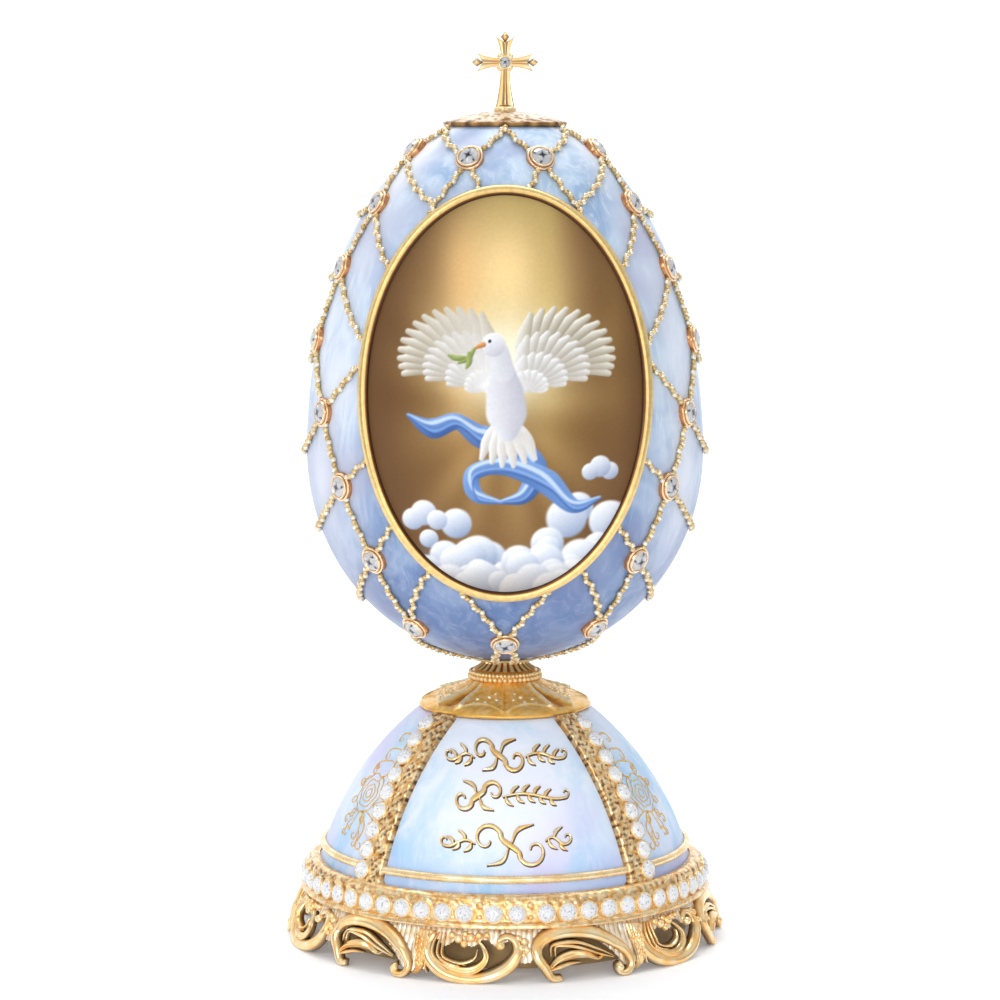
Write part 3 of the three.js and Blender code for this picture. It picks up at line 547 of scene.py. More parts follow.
def make_egg():
    rows = np.linspace(-math.pi / 2, math.asin((EGG_TOP_Z - EGG_WIDEST_Z) / EGG_UPPER_AXIS), 90)
    profile = [
        (EGG_RADIUS * math.cos(a), EGG_WIDEST_Z + (EGG_UPPER_AXIS if a > 0 else EGG_LOWER_AXIS) * math.sin(a))
        for a in rows
    ]
    heap = Heap()
    verts, faces = lathe([*profile, (0.01, EGG_TOP_Z)], 144)
    turn = np.degrees(angle_of(verts))
    # Painted highlight: a near-white sheen in patchy bands on the egg's left, right and back, fading out
    # towards the bottom.
    clouds = np.clip(0.85 + 0.45 * wave_noise(verts * [1, 1, 0.6], 26, 18, 3), 0, 1.3)
    glows = ((-61, 15), (60, 13), (150, 24))
    left, right, back = (np.exp(-(((turn - at) / width) ** 2)) for at, width in glows)
    painted_sheen = (0.85 * left + 0.6 * right + 0.5 * back) * smooth(72, 105, verts[:, 2]) * clouds
    heap.add(verts, faces, 0, np.clip(painted_sheen, 0, 0.92))
    heap.piece("porcelain_egg_glazed", [EGG_PEARL], "porcelain", ["porcelain_egg"])


def make_beads():
    """The strands: dull beads on a thread, brighter ones to its left and right, and a ring under the egg."""
    heap = Heap()
    for link in LINKS:
        line = []
        for (t0, z0), (t1, z1) in zip(link[:-1], link[1:]):
            share = np.linspace(0, 1, 60, endpoint=False)
            line.append(np.stack([t0 + (t1 - t0) * share, z0 + (z1 - z0) * share], -1))
        line = np.concatenate([*line, [link[-1]]])
        points, normals = on_surface(egg_r, line[:, 0], line[:, 1], 0.6)
        run = np.concatenate([[0], np.cumsum(np.linalg.norm(np.diff(points, axis=0), axis=1))])
        count = max(2, round(run[-1] / BEAD_STEP))
        sides = np.cross(normals, np.gradient(points, axis=0))
        sides /= np.linalg.norm(sides, axis=1, keepdims=True)
        for i, distance in enumerate(np.linspace(0, run[-1], count + 1)):
            lines = (points, normals, sides)
            here, out, side = (np.array([np.interp(distance, run, a[:, k]) for k in range(3)]) for a in lines)
            if np.min(np.linalg.norm(BEZEL_POINTS - here, axis=1)) < BEZEL_REACH:
                continue
            bright = i % 2
            size = (0.66 if bright else 0.7) * rng.uniform(0.96, 1.04)
            here = here + side * (0.4 * (i % 4 - 2) * bright)
            tone = rng.uniform(0.8, 1.0) if bright else rng.uniform(0.1, 0.5)
            heap.add(stand(SMALL_BALL[0] * size, here, out, rng.uniform(0, 6)), SMALL_BALL[1], 0, tone)
        heap.add(*thread(points - normals * 0.25, 0.3), 0, 0.1)
    ring = on_surface(egg_r, np.arange(0, 361, 24), FOOT_RING_Z, 0.45)[0]
    heap.add(*thread(ring, 0.35, 8), 0, 0.3)
    heap.piece("bead_strands", [BEADS], "pale_gilt", ["bead_lattice"])


def thread(points, radius, sides=5):
    """A thin round cord through points."""
    points = np.asarray(points)[:: max(1, len(points) // 14)]
    along = np.gradient(points, axis=0)
    along /= np.linalg.norm(along, axis=1, keepdims=True)
    side = np.cross(along, [0.1, 0.2, 1.0])
    side /= np.linalg.norm(side, axis=1, keepdims=True)
    up = np.cross(along, side)
    angle = np.linspace(0, 2 * math.pi, sides, endpoint=False)
    ring = side[:, None] * np.cos(angle)[None, :, None] + up[:, None] * np.sin(angle)[None, :, None]
    return (points[:, None] + ring * radius).reshape(-1, 3), grid_faces(len(points), sides).tolist()


def gem(girdle, table, crown, pavilion, sides=8):
    """A cut stone with its crown up and the foiled facets under it, each as verts, faces and tones."""

    def ring(radius, height, shift, count=sides):
        angle = 2 * math.pi * (np.arange(count) + shift) / count
        return np.stack([radius * np.cos(angle), radius * np.sin(angle), np.full(count, height)], -1)

    waist = ring((girdle + table) * 0.54, crown * 0.55, 0.5)
    middles = [[0, 0, -pavilion], [0, 0, crown * 1.01]]
    verts = np.concatenate([ring(girdle, 0, 0.0, 2 * sides), waist, ring(table, crown, 0.0), middles])
    n, m = 2 * sides, 3 * sides
    faces = []
    for i in range(sides):
        j = (i + 1) % sides
        faces += [(2 * i, 2 * i + 1, n + i), (2 * i + 1, (2 * i + 2) % n, n + i)]
        faces += [((2 * i + 2) % n, m + j, n + i), (2 * i, n + i, m + i), (n + i, m + j, m + i)]
        faces.append((m + i, m + j, 4 * sides + 1))
    faces += [(i, 4 * sides, (i + 1) % n) for i in range(n)]
    foil = Heap()
    outer, middle = ring(girdle * 1.02, -0.03, 0.0, n), ring(girdle * 0.55, -pavilion * 0.55, 0.5, n)
    inner = ring(girdle * 0.2, -pavilion - 0.04, 0.0, n)
    # Painted reflections on the foil: its facets take dark or bright tones in turn, and the disc in the
    # middle is black.
    for i in range(n):
        j = (i + 1) % n
        for corners, tones in (
            ([outer[i], outer[j], middle[i]], (0.7, 0.95, 1.0, 1.0)),
            ([middle[i], outer[j], middle[j]], (0.25, 1.0, 1.0, 0.85)),
            ([middle[i], middle[j], inner[j], inner[i]], (0.1, 1.0, 0.75, 1.0)),
        ):
            foil.add(np.array(corners), [tuple(range(len(corners)))], 0, tones[(i * 7 + len(corners)) % 4])
    foil.add(inner + [0, 0, 0.01], [tuple(range(n))], 0, 0.0)
    # Painted reflections in the crown: some facets get dark tones and others bright, with dark middles.
    facet_reflection_tones = [1.0, 0.4] * sides + [0.1 if i % 3 == 0 else 1.0 for i in range(sides)]
    facet_reflection_tones += [0.45 if i % 2 else 1.0 for i in range(sides)] + [0.0, 0.0]
    return (verts, faces, facet_reflection_tones), (np.concatenate(foil.verts), foil.faces, np.concatenate(foil.tones))


def make_bezels():
    """Each bezel: a double ring of rose gilt round a foiled, cut crystal."""
    cups, stones = Heap(), Heap()
    profile = [
        (3.0, -0.9), (3.1, 0.3), (3.02, 0.52), (2.8, 0.6), (2.6, 0.5), (2.54, 0.62), (2.5, 0.98),
        (2.36, 1.16), (2.2, 1.1), (2.1, 0.8), (1.2, 0.1), (0.05, 0.05),
    ]
    # Painted highlights on the crest of each ring; painted shade in the groove between them and down in the
    # cup.
    tones = [0.8, 0.75, 0.2, 0.0, 1.0, 0.85, 0.15, 0.0, 0.3, 0.95, 0.9, 0.9]
    segments = 32
    verts, faces = lathe(profile, segments)
    tone = np.repeat(tones, segments)
    (cut, cut_faces, cut_tone), (foil, foil_faces, foil_tone) = gem(2.12, 1.25, 0.55, 0.75)
    for turn, z in BEZELS:
        point, normal = on_surface(egg_r, turn, z, 0.45)
        level = np.array([math.sin(math.radians(turn)), -math.cos(math.radians(turn)), 0])
        normal = normal * 0.78 + level * 0.22
        normal /= np.linalg.norm(normal)
        spin = rng.uniform(0, 6.28)
        wobble = 1 + 0.018 * np.cos(3 * np.arctan2(verts[:, 1], verts[:, 0]) + spin)
        shaped = verts * np.stack([wobble, wobble, np.ones(len(verts))], -1)
        cups.add(stand(shaped, point, normal, spin), faces, 0, tone)
        seat = point + normal * 0.95
        cups.add(stand(foil, seat, normal, spin), foil_faces, 1, foil_tone)
        stones.add(stand(cut, seat, normal, spin), cut_faces, 0, cut_tone)
    cups.piece("bezel_cups", [ROSE_GOLD, FOIL], "gilt_metal", [], [1])
    names = [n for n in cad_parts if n.startswith("crystal_")]
    stones.piece("crystals", [CRYSTAL], "crystal", names, [0])


def oval_points(inset, count, out):
    t = np.linspace(0, 2 * math.pi, count, endpoint=False)
    x = (PICTURE_HALF_WIDTH - inset) * np.cos(t)
    z = PICTURE_CENTRE_Z + (PICTURE_HALF_HEIGHT - inset) * np.sin(t)
    turn = np.degrees(np.arcsin(x / egg_r(z)))
    return on_surface(egg_r, turn, z, out)[0]


def make_picture_frame():
    """The oval line: a pale gilt band with a fine dark edge on both sides."""
    width, count = PICTURE_FRAME_WIDTH, 200
    section = [
        (-0.1, -0.2, 0.9), (0.0, 0.55, 1.0), (0.12, 0.75, 0.9), (0.24, 0.95, 0.3), (0.5, 1.25, 0.0),
        (0.95, 1.4, 0.0), (1.4, 1.25, 0.1), (1.62, 0.95, 0.35), (1.76, 0.7, 0.9), (width, 0.5, 1.0),
        (width + 0.12, -0.2, 1.0),
    ]
    rings = np.stack([oval_points(inset, count, out) for inset, out, _ in section])
    heap = Heap()
    heap.add(rings, grid_faces(len(section), count).tolist(), 0, np.repeat([s[2] for s in section], count))
    heap.piece("oval_frame", [GOLD_FRAME], "gilt_metal", ["picture_frame"])


# The way to the light in the painting
PAINT_LIGHT = np.array([-0.55, 0.83])


def paint_picture(x, z):
    """The painted oval's colours in sRGB at x and z: a glowing sky, a dove, a ribbon and clouds."""
    u, v = x / 28.5, (z - PICTURE_CENTRE_Z) / 41.0
    flat = np.stack([x, z], -1)

    picture = np.ones((len(x), 3)) * from_hex("8F6B38")

    def lay(mask, value):
        nonlocal picture
        value = from_hex(value) if isinstance(value, str) else value
        picture = picture + (value - picture) * np.clip(mask, 0, 1)[:, None]

    blur = wave_noise(flat, 60, 3, 2)
    lay(smooth(0.3, 0.95, np.hypot(u * 1.0, v * 0.78) + 0.08 * blur), "6A4826")
    lay(np.exp(-((u / 0.44) ** 2) - ((v - 0.62) / 0.42) ** 2), "FFDE9C")
    lay(0.55 * np.exp(-(((u + 0.3) / 0.14) ** 2)) * smooth(-0.7, 0.5, v) * smooth(1.0, 0.6, v), "FCC480")
    lay(0.4 * np.exp(-(((u - 0.3) / 0.12) ** 2)) * smooth(-0.6, 0.5, v), "DCC274")
    lay(0.5 * np.exp(-(((u - 0.05) / 0.4) ** 2) - ((v - 0.98) / 0.16) ** 2), "D2BC70")
    lay(0.5 * np.exp(-(((u - 0.8) / 0.14) ** 2)) * smooth(-0.8, 0.3, v), "94703E")
    angle = np.arctan2(u, v + 0.05)
    beams = 0.5 + 0.5 * np.sin(angle * 13 + 0.8 * np.sin(angle * 5))
    lay(0.14 * beams * smooth(0.15, 0.4, np.hypot(u, v)) * smooth(1.1, 0.5, np.hypot(u, v)), "FFDE98")
    lay(0.9 * np.exp(-(((u / 0.58) ** 2 + ((v - 0.2) / 0.32) ** 2) * 1.8)), "FFEDB0")
    lay(np.exp(-(((u / 0.4) ** 2 + ((v - 0.18) / 0.28) ** 2) * 2.0)), "FFFAE2")

    def stroke(points, widths, light, dark, edge, strength=1.0, count=90):
        """A shaded tapering stroke: lighter on the side that faces the light."""
        line = smooth_line(points, count)
        w = spread(widths, count)
        middle, reach = (line.max(0) + line.min(0)) / 2, np.ptp(line, axis=0) / 2 + max(widths)
        near = (np.abs(flat - middle) < reach).all(axis=1)
        spots = flat[near]
        if not len(spots):
            return
        d = np.linalg.norm(spots[:, None] - line[None], axis=2)
        nearest = np.argmin(d - w[None] * 0.5, axis=1)
        distance = d[np.arange(len(spots)), nearest]
        half = w[nearest] / 2
        along = np.gradient(line, axis=0)
        across = np.stack([-along[:, 1], along[:, 0]], -1)
        across /= np.linalg.norm(across, axis=1, keepdims=True)
        side = ((spots - line[nearest]) * across[nearest]).sum(axis=1) / (half + 1e-6)
        shade = np.clip(0.5 + 0.55 * side * (across[nearest] @ PAINT_LIGHT), 0, 1)[:, None]
        mask = np.zeros(len(flat))
        tint = np.zeros((len(flat), 3))
        mask[near] = strength * smooth(edge, -edge, distance - half)
        tint[near] = from_hex(dark) + (from_hex(light) - from_hex(dark)) * shade
        lay(mask, tint)

    def puff(cx, cz, r, dark):
        """One round lump of cloud, lit from the upper left."""
        away = (flat - [cx, cz]) / r
        d = np.linalg.norm(away, axis=1)
        lit = np.clip(0.52 + 0.5 * (away @ np.array([-0.45, 0.8])) + 0.1 * blur, 0, 1) ** 0.8
        lay(smooth(1.06, 0.86, d), from_hex(dark) + (1 - from_hex(dark)) * lit[:, None])

    def bank(cx, cz, width, height, lumps, size, seed, dark):
        """A heap of puffs, the upper ones first."""
        rows = np.random.default_rng(seed)
        places = [(rows.uniform(-1, 1), rows.uniform(0, 1)) for _ in range(lumps)]
        for a, b in sorted(places, key=lambda p: -p[1]):
            top = height * (1 - a * a) * b
            puff(cx + a * width, cz + top, size * rows.uniform(0.6, 1.25), dark=dark)

    lay(0.9 * smooth(92, 82, z + 3 * blur), "8FA3C6")
    bank(-14, 83.5, 15, 13, 22, 3.4, 21, "6F85AC")
    bank(16, 82, 13, 17, 26, 3.6, 22, "788DB4")
    bank(2, 80, 20, 9, 34, 3.4, 23, "7088B2")
    left_puffs = [(-19, 96, 2.4), (-16.8, 97.4, 2.8), (-14, 96, 2.2)]
    right_puffs = [(21.5, 106, 1.9), (19.5, 107, 2.3), (17.4, 106, 1.8)]
    for cx, cz, r in left_puffs + right_puffs:
        puff(cx, cz, r, dark="8797B8")
    lay(0.55 * smooth(-0.78, -1.02, v), "9A8A78")

    def ribbon(points, widths, blue, navy, pale):
        """A flat ribbon in folds: its dark side, its face and a thin light along the upper edge."""
        stroke(points, widths, blue, navy, edge=0.2, count=420)
        for share, width, tint in ((0.26, 0.2, pale), (-0.12, 0.12, blue), (-0.3, 0.1, navy)):
            shifted = [(a - 0.4 * share * w, b + share * w) for (a, b), w in zip(points, widths)]
            stroke(shifted, [width * w for w in widths], tint, tint, edge=0.25, strength=0.8, count=420)

    tail = [(-20, 117.5), (-15, 115), (-10, 116.5), (-5, 113.5), (1, 112.5), (6, 107), (4, 101.5), (-1, 100)]
    ribbon(tail, [0.8, 4.2, 3.2, 5.0, 4.2, 5.2, 3.6, 0.8], "86ADE6", "35599A", "DCEAFD")
    loop = [(-1, 100), (-6, 101.5), (-6.5, 106), (0, 107.5), (8, 104.5), (14, 99), (19.5, 100.5)]
    ribbon(loop, [0.8, 3.4, 3.2, 4.4, 5.2, 3.4, 0.6], "8FB4E8", "3F66A8", "DCEAFD")

    def feather(root, tip, bend, width, light, dark):
        root, tip = np.array(root, float), np.array(tip, float)
        middle = (root + tip) / 2 + np.array([-(tip - root)[1], (tip - root)[0]]) * bend
        stroke([root, middle, tip], [width * 0.6, width, width * 0.95, width * 0.4], light, dark, edge=0.16)

    def wing(side, shoulder, rows):
        """A raised wing: long feathers first, shorter rows over their roots, all bent outwards."""
        sx, sz = shoulder
        for row, (count, length, width, light, dark) in enumerate(rows):
            for i in range(count):
                share = i / (count - 1)
                heading = math.radians(-6 + 92 * share)
                reach = length * (0.62 + 0.38 * math.sin(math.pi * (0.1 + 0.72 * share)))
                arm = 7.5 - 1.6 * row
                base = (sx + side * arm * (1 - 0.75 * share), sz + arm * 0.75 * (1 - 0.3 * share) - 1.5)
                tip = (base[0] + side * reach * math.cos(heading), base[1] + reach * math.sin(heading))
                feather(base, tip, side * 0.1, width, light, dark)

    rows = [
        (13, 15.5, 3.0, "FFFDF4", "A89C86"),
        (11, 11.0, 2.9, "FFFFFF", "B8AFA0"),
        (9, 7.2, 2.8, "FFFFFF", "C4BFB8"),
        (7, 4.2, 2.6, "FFFFFF", "D2CFCC"),
    ]
    wing(-1, (-2.0, 123), rows)
    wing(1, (2.4, 123), rows)
    for offset in (-5.2, -3.2, -1.2, 1.0, 3.2, 5.2):
        tip = (0.6 + offset * 1.05, 107.2 + abs(offset) * 0.35)
        feather((0.2, 117), tip, 0.02 * offset, 2.5, "FFFFFF", "B8B0A6")
    stroke([(0.4, 114.5), (0.1, 120), (-0.4, 126.5)], [4.0, 8.4, 7.6, 4.6], "FFFFFF", "A9A9B8", edge=0.35)
    stroke([(-0.6, 127), (-1.5, 130.6), (-2.6, 132.2)], [4.8, 4.6, 4.0], "FFFFFF", "B7B7C4", edge=0.3)
    puff(-2.4, 132.2, 2.5, dark="C0BFCB")
    stroke([(-4.5, 132.2), (-5.7, 131.7), (-6.6, 131.2)], [1.1, 0.8, 0.2], "F0B46A", "B06A30", edge=0.12)
    lay(smooth(0.42, 0.3, np.hypot(x + 3.2, z - 132.9)), "2B2320")
    leaves = [((-6.4, 131.2), (-9.6, 128.4)), ((-7.4, 130.4), (-8.0, 127.4)), ((-8.4, 129.6), (-11.6, 129.9))]
    for root, tip in leaves:
        feather(root, tip, 0.12, 1.2, "B9C878", "6E7C3C")
    return np.clip(picture, 0, 1)


def make_picture():
    """The painted oval, a dense skin on the front of the egg with a colour at each vertex."""
    inset = PICTURE_FRAME_WIDTH - 0.3
    half_width, half_height = PICTURE_HALF_WIDTH - inset, PICTURE_HALF_HEIGHT - inset
    columns, rows = 264, 380
    across = np.linspace(-1, 1, columns) * half_width
    x, z = np.meshgrid(across, PICTURE_CENTRE_Z + np.linspace(-1, 1, rows) * half_height)
    inside = np.hypot(x / half_width, (z - PICTURE_CENTRE_Z) / half_height) <= 1
    quads = grid_faces(rows, columns, closed=False)
    used, faces = renumber(quads[inside.ravel()[quads].all(axis=1)])
    x, z = x.ravel()[used], z.ravel()[used]
    heap = Heap()
    heap.add(on_surface(egg_r, np.degrees(np.arcsin(x / egg_r(z))), z, 0.12)[0], faces)
    obj = heap.piece("painted_oval", [PAINT], "porcelain")
    colours = np.concatenate([linear(paint_picture(x, z)), np.ones((len(x), 1))], 1)
    layer = obj.data.color_attributes.new("paint", "FLOAT_COLOR", "POINT")
    layer.data.foreach_set("color", colours.astype(np.float32).ravel())


def paint_material():
    made, tree, shader = material("PaintedOval", Roughness=0.5, Specular_IOR_Level=0.3)
    paint = tree.nodes.new("ShaderNodeAttribute")
    paint.attribute_name = "paint"
    grain = ramp_node(tree, noise_node(tree, 1400, 4), [(0.3, 0.93), (0.7, 1.0)])
    colour = mix_node(tree, 1.0, paint.outputs["Color"], grain, "MULTIPLY")
    tree.links.new(colour, shader.inputs["Base Color"])
    return made


PAINT = paint_material()


def make_cap():
    """The shallow cap: cream with gilt filigree, and a scalloped dark gilt rim."""
    heap = Heap()
    segments = 180
    share = np.linspace(1, 0.004, 30)
    bulge = np.stack([(CAP_RADIUS - 0.35) * share, CAP_BOTTOM_Z + 0.7 + 2.3 * (1 - share**2)], -1)
    verts, faces = lathe(bulge, segments)
    pattern = wave_noise(verts * [1, 1, 1.5], 3.0, 9, 3) + 0.5 * wave_noise(verts, 1.4, 4, 2)
    radius = np.hypot(verts[:, 0], verts[:, 1])
    verts[:, 2] += 0.12 * smooth(0.2, 1.0, pattern)
    tone = 0.8 * smooth(0.15, 0.75, np.abs(pattern)) * smooth(1, 4, radius) + 0.2 * smooth(9, 12.5, radius)
    heap.add(verts, faces, 0, np.clip(tone, 0, 1))
    rim = [(12.3, 0.75), (12.9, 0.72), (13.2, 0.5), (13.3, 0.2), (13.1, -0.15), (12.6, -0.32), (0.1, -0.3)]
    verts, faces = lathe(np.array(rim) + [0, CAP_BOTTOM_Z], segments)
    angle = angle_of(verts)
    outer = smooth(12, 13, np.hypot(verts[:, 0], verts[:, 1]))
    bumps = np.cos(19 * angle) + 0.6 * np.cos(31 * angle + 1)
    verts[:, :2] *= (1 + 0.008 * outer * bumps)[:, None]
    verts[:, 2] += outer * 0.07 * bumps
    heap.add(verts, faces, 0, np.clip(0.82 + 0.14 * bumps * outer, 0, 1))
    heap.piece("cap_filigree", [CAP_PEARL], "pale_gilt", ["egg_cap"])


def make_cross():
    """The cross: ridged arms that flare to notched ends with diamonds, four small curls and a stone."""
    heap = Heap()
    stem = CROSS_HEIGHT - 6.7
    centre = CROSS_BOTTOM_Z + stem
    steps = 16
    # The third number of each point is its tone: painted shade on the outer edges and on the flanks of the
    # middle ridge, none on the ridges.
    section = [(-1, 0.3, 0.65), (-0.84, 0.62, 0.0), (-0.5, 0.25, 0.05), (-0.16, 0.45, 0.5), (0, 0.85, 0.0)]
    section += [(-a, rise, tone) for a, rise, tone in section[3::-1]]

    def turned(heading):
        direction = np.array([math.sin(heading), math.cos(heading)])
        return direction, np.array([direction[1], -direction[0]])

    def arm(heading, reach, waist, tip, notch):
        """An arm from the middle outwards, with raised edges, two hollows and a ridge; its end is a notch."""
        direction, side = turned(heading)
        rows, tones = [], []
        for t in np.linspace(0, 1, steps):
            width = waist + (tip - waist) * t**2.2
            for way in (1, -1):
                for a, rise, tone in section[::way]:
                    flat = direction * (reach - notch * (1 - abs(a)) ** 0.8) * t + side * (a * width)
                    rows.append([flat[0], -way * rise * (1 - 0.2 * t), flat[1]])
                    # The painted shade grows towards the end of the arm.
                    tones.append(tone * (0.6 + 0.4 * t))
        count = 2 * len(section)
        faces = grid_faces(steps, count).tolist()
        for i in range(len(section) - 1):
            corners = (i, i + 1, count - 2 - i, count - 1 - i)
            faces += [tuple(row * count + k for k in corners) for row in (0, steps - 1)]
        heap.add(np.array(rows) + [0, 0, centre], faces, 0, tones)

    def diamond(heading, distance):
        """A faceted diamond in the notch at the end of an arm."""
        direction, side = turned(heading)
        corners = [(1.15, 0, 0), (0, 0.95, 0), (-1.35, 0, 0), (0, -0.95, 0), (0, 0, 0.8), (0, 0, -0.8)]
        points = [(*(direction * (distance + a) + side * b), c) for a, b, c in corners]
        verts = [[x, -c, z + centre] for x, z, c in points]
        faces = [(i, (i + 1) % 4, top) for i in range(4) for top in (4, 5)]
        # Painted shade on the diamond's side corners; its tip and its front and back points stay light.
        heap.add(verts, faces, 0, [0.1, 0.6, 0.7, 0.6, 0.0, 0.0])

    for heading, reach in ((0, 5.6), (math.pi / 2, 6.2), (-math.pi / 2, 6.2)):
        arm(heading, reach, 0.85, 2.05, 1.35)
        diamond(heading, reach - 0.15)
    arm(math.pi, stem - 0.1, 0.95, 2.15, 0.5)
    for quarter in range(4):
        a = math.pi / 4 + quarter * math.pi / 2
        way = 0.85 if quarter % 2 else -0.85
        line = spiral((1.6 * math.cos(a), 1.6 * math.sin(a)), 0.62, math.degrees(a) + 150, way, 0.35, 12)
        points = np.stack([line[:, 0], np.full(12, -0.4), line[:, 1] + centre], -1)
        heap.add(*thread(points, 0.32, 8))
    front = np.array([0, -1.0, 0])
    cup = [(0.1, 0.0), (1.5, 0.0), (1.5, 0.5), (1.34, 0.72), (1.16, 0.6), (1.05, 0.2), (0.1, 0.05)]
    verts, faces = lathe(cup, 24)
    heap.add(stand(verts, np.array([0, -0.55, centre]), front), faces)
    foot = [(0.1, -0.5), (2.2, -0.5), (2.5, 0.0), (2.45, 0.3), (2.0, 0.6), (1.2, 0.8)]
    heap.add(*lathe(np.array(foot) + [0, CROSS_BOTTOM_Z], 24))
    heap.piece("cross_gilt", [GOLD], "gilt_metal", ["cross"])
    (cut, cut_faces, cut_tone), (foil, foil_faces, foil_tone) = gem(1.08, 0.6, 0.45, 0.4)
    stone, seat = Heap(), np.array([0, -1.15, centre])
    stone.add(stand(cut, seat, front), cut_faces, 0, cut_tone)
    stone.add(stand(foil, seat, front), foil_faces, 1, foil_tone)
    stone.piece("cross_crystal", [CRYSTAL, FOIL], "crystal", ["cross_stone"], [0, 1])


def neck_flare(heap, profile, bottom):
    """The pedestal's flare, with a pair of ribs on each diagonal, arches between them and fine flutes."""
    segments = 480
    verts, faces = lathe(profile + [0, bottom], segments)
    angle = angle_of(verts)
    inward = np.repeat(np.linspace(0, 1, len(profile)), segments)
    folded = np.degrees(angle) % 90
    from_ridge, from_groove = np.abs(folded - 45), np.minimum(folded, 90 - folded)
    where = smooth(0.15, 0.24, inward) * smooth(1.0, 0.92, inward)
    ridge = np.exp(-(((from_ridge - 5 - 7 * (1 - inward)) / (1.5 + 1.6 * inward)) ** 2)) * where
    valley = np.exp(-((from_ridge / 5) ** 2)) * where
    groove = np.exp(-((from_groove / 1.6) ** 2)) * where
    arch = 0.16 + 0.2 * (1 - ((from_groove - 19) / 17) ** 2)
    leaf = np.exp(-(((inward - arch) / 0.022) ** 2)) * (np.abs(from_groove - 19) < 18)
    flutes = 0.5 + 0.5 * np.cos(np.radians(from_groove) * 40)
    inside = smooth(0.02, 0.1, inward - arch) * smooth(14, 22, from_ridge)
    push = 0.8 * ridge - 0.35 * valley - 0.25 * groove + 0.36 * leaf + 0.12 * flutes * inside
    push += 0.07 * wave_noise(verts, 1.5, 2, 2) * where
    # Painted shade in the valleys and grooves and in a band near the rim.
    tone = 0.6 * smooth(0.04, -0.34, push) + 0.3 * smooth(0.1, 0.0, inward) * smooth(0.0, 0.04, inward)
    slope = np.gradient(profile, axis=0)
    slope = np.repeat(slope / np.linalg.norm(slope, axis=1, keepdims=True), segments, axis=0)
    verts += around(angle, slope[:, 1], -slope[:, 0]) * push[:, None]
    patches = 0.1 * wave_noise(verts, 3.2, 21, 3)
    # Painted highlight where the surface is pushed out most, with random patches.
    heap.add(verts, faces, 0, np.clip(0.27 + patches + 0.7 * tone - 0.26 * smooth(0.15, 0.5, push), 0, 1))


def make_neck():
    """The pedestal: a lobed flare with raised ribs and dots, a beaded ring and a fluted collar."""
    heap = Heap()
    bottom, top = DOME_TOP_Z + 0.3, EGG_BOTTOM_Z - 0.3
    rim = [(18.6, 0.0), (18.9, 0.35), (18.5, 0.95), (17.0, 1.9)]
    slope = [(13.6, 3.0), (10.2, 4.1), (8.3, 5.2), (7.3, 5.9)]
    profile = smooth_line(rim + slope, 70)
    neck_flare(heap, profile, bottom)
    dots = [(8, 13.3, 0.4), (16, 12.2, 0.5), (17, 14.6, 0.42), (26, 13.4, 0.48), (26, 15.2, 0.38)]
    dots.append((11, 10.6, 0.36))
    for turn, r, size in dots:
        z = bottom + np.interp(-r, -profile[:, 0], profile[:, 1])
        for quarter in (0, 90, 180, 270):
            for a in (quarter + turn, quarter - turn):
                # A tone near 0 paints a highlight on each dot.
                heap.ball(around(math.radians(a), r, z), size, 0.03)
    ring_z = top - 3.05
    ring = [(7.0, -1.25), (7.6, -0.9), (7.5, 0), (7.2, 0.7), (6.4, 1.15)]
    heap.add(*lathe(np.array(ring) + [0, ring_z], 96), 0, 0.55)
    for count, r, z, size in ((44, 7.75, -0.55, 0.52), (56, 7.6, 0.35, 0.42)):
        for k in range(count):
            heap.ball(around(2 * math.pi * k / count, r, ring_z + z), [size, size, size * 1.1], 0.16)
    collar = smooth_line([(6.6, 0.0), (5.6, 0.6), (4.8, 1.3), (4.5, 1.9), (0.1, 1.95)], 24)
    verts, faces = lathe(collar + [0, top - 1.95], 216)
    flutes = np.cos(24 * angle_of(verts))
    verts[:, :2] *= (1 + 0.06 * flutes)[:, None]
    # Painted shade in the grooves between the flutes.
    heap.add(verts, faces, 0, 0.12 + 0.8 * smooth(0.3, -0.8, flutes))
    heap.add(*lathe([(18.5, bottom), (0.1, bottom)], 96), 0, 0.4)
    heap.piece("neck_gilt", [GOLD_SOFT], "gilt_metal", ["neck_pedestal"])


def on_dome(turn_mid):
    """Places flat points, [millimetres round from a middle line, height], on the dome."""

    def place(x, z, out):
        return on_surface(dome_r, turn_mid + np.degrees(x / dome_r(z)), z, out)[0]

    return place


def make_dome():
    heap = Heap()
    z = np.linspace(11.3, DOME_TOP_Z, 60)
    verts, faces = lathe([(0.1, 11.3), *zip(dome_r(z), z), (0.1, DOME_TOP_Z)], 160)
    # Painted highlight: a near-white glow on the middle of the dome's front only.
    glow = np.exp(-((verts[:, 0] / 16) ** 4) - ((verts[:, 2] - 37) / 15) ** 4) * (verts[:, 1] < 0)
    heap.add(verts, faces, 0, 0.8 * glow)
    heap.piece("porcelain_dome_glazed", [DOME_PEARL], "porcelain", ["porcelain_dome"])


def rib_stones():
    """Heights of the stones up each rib."""
    return [19.4 + 4.05 * i - 0.06 * i * i for i in range(9)]


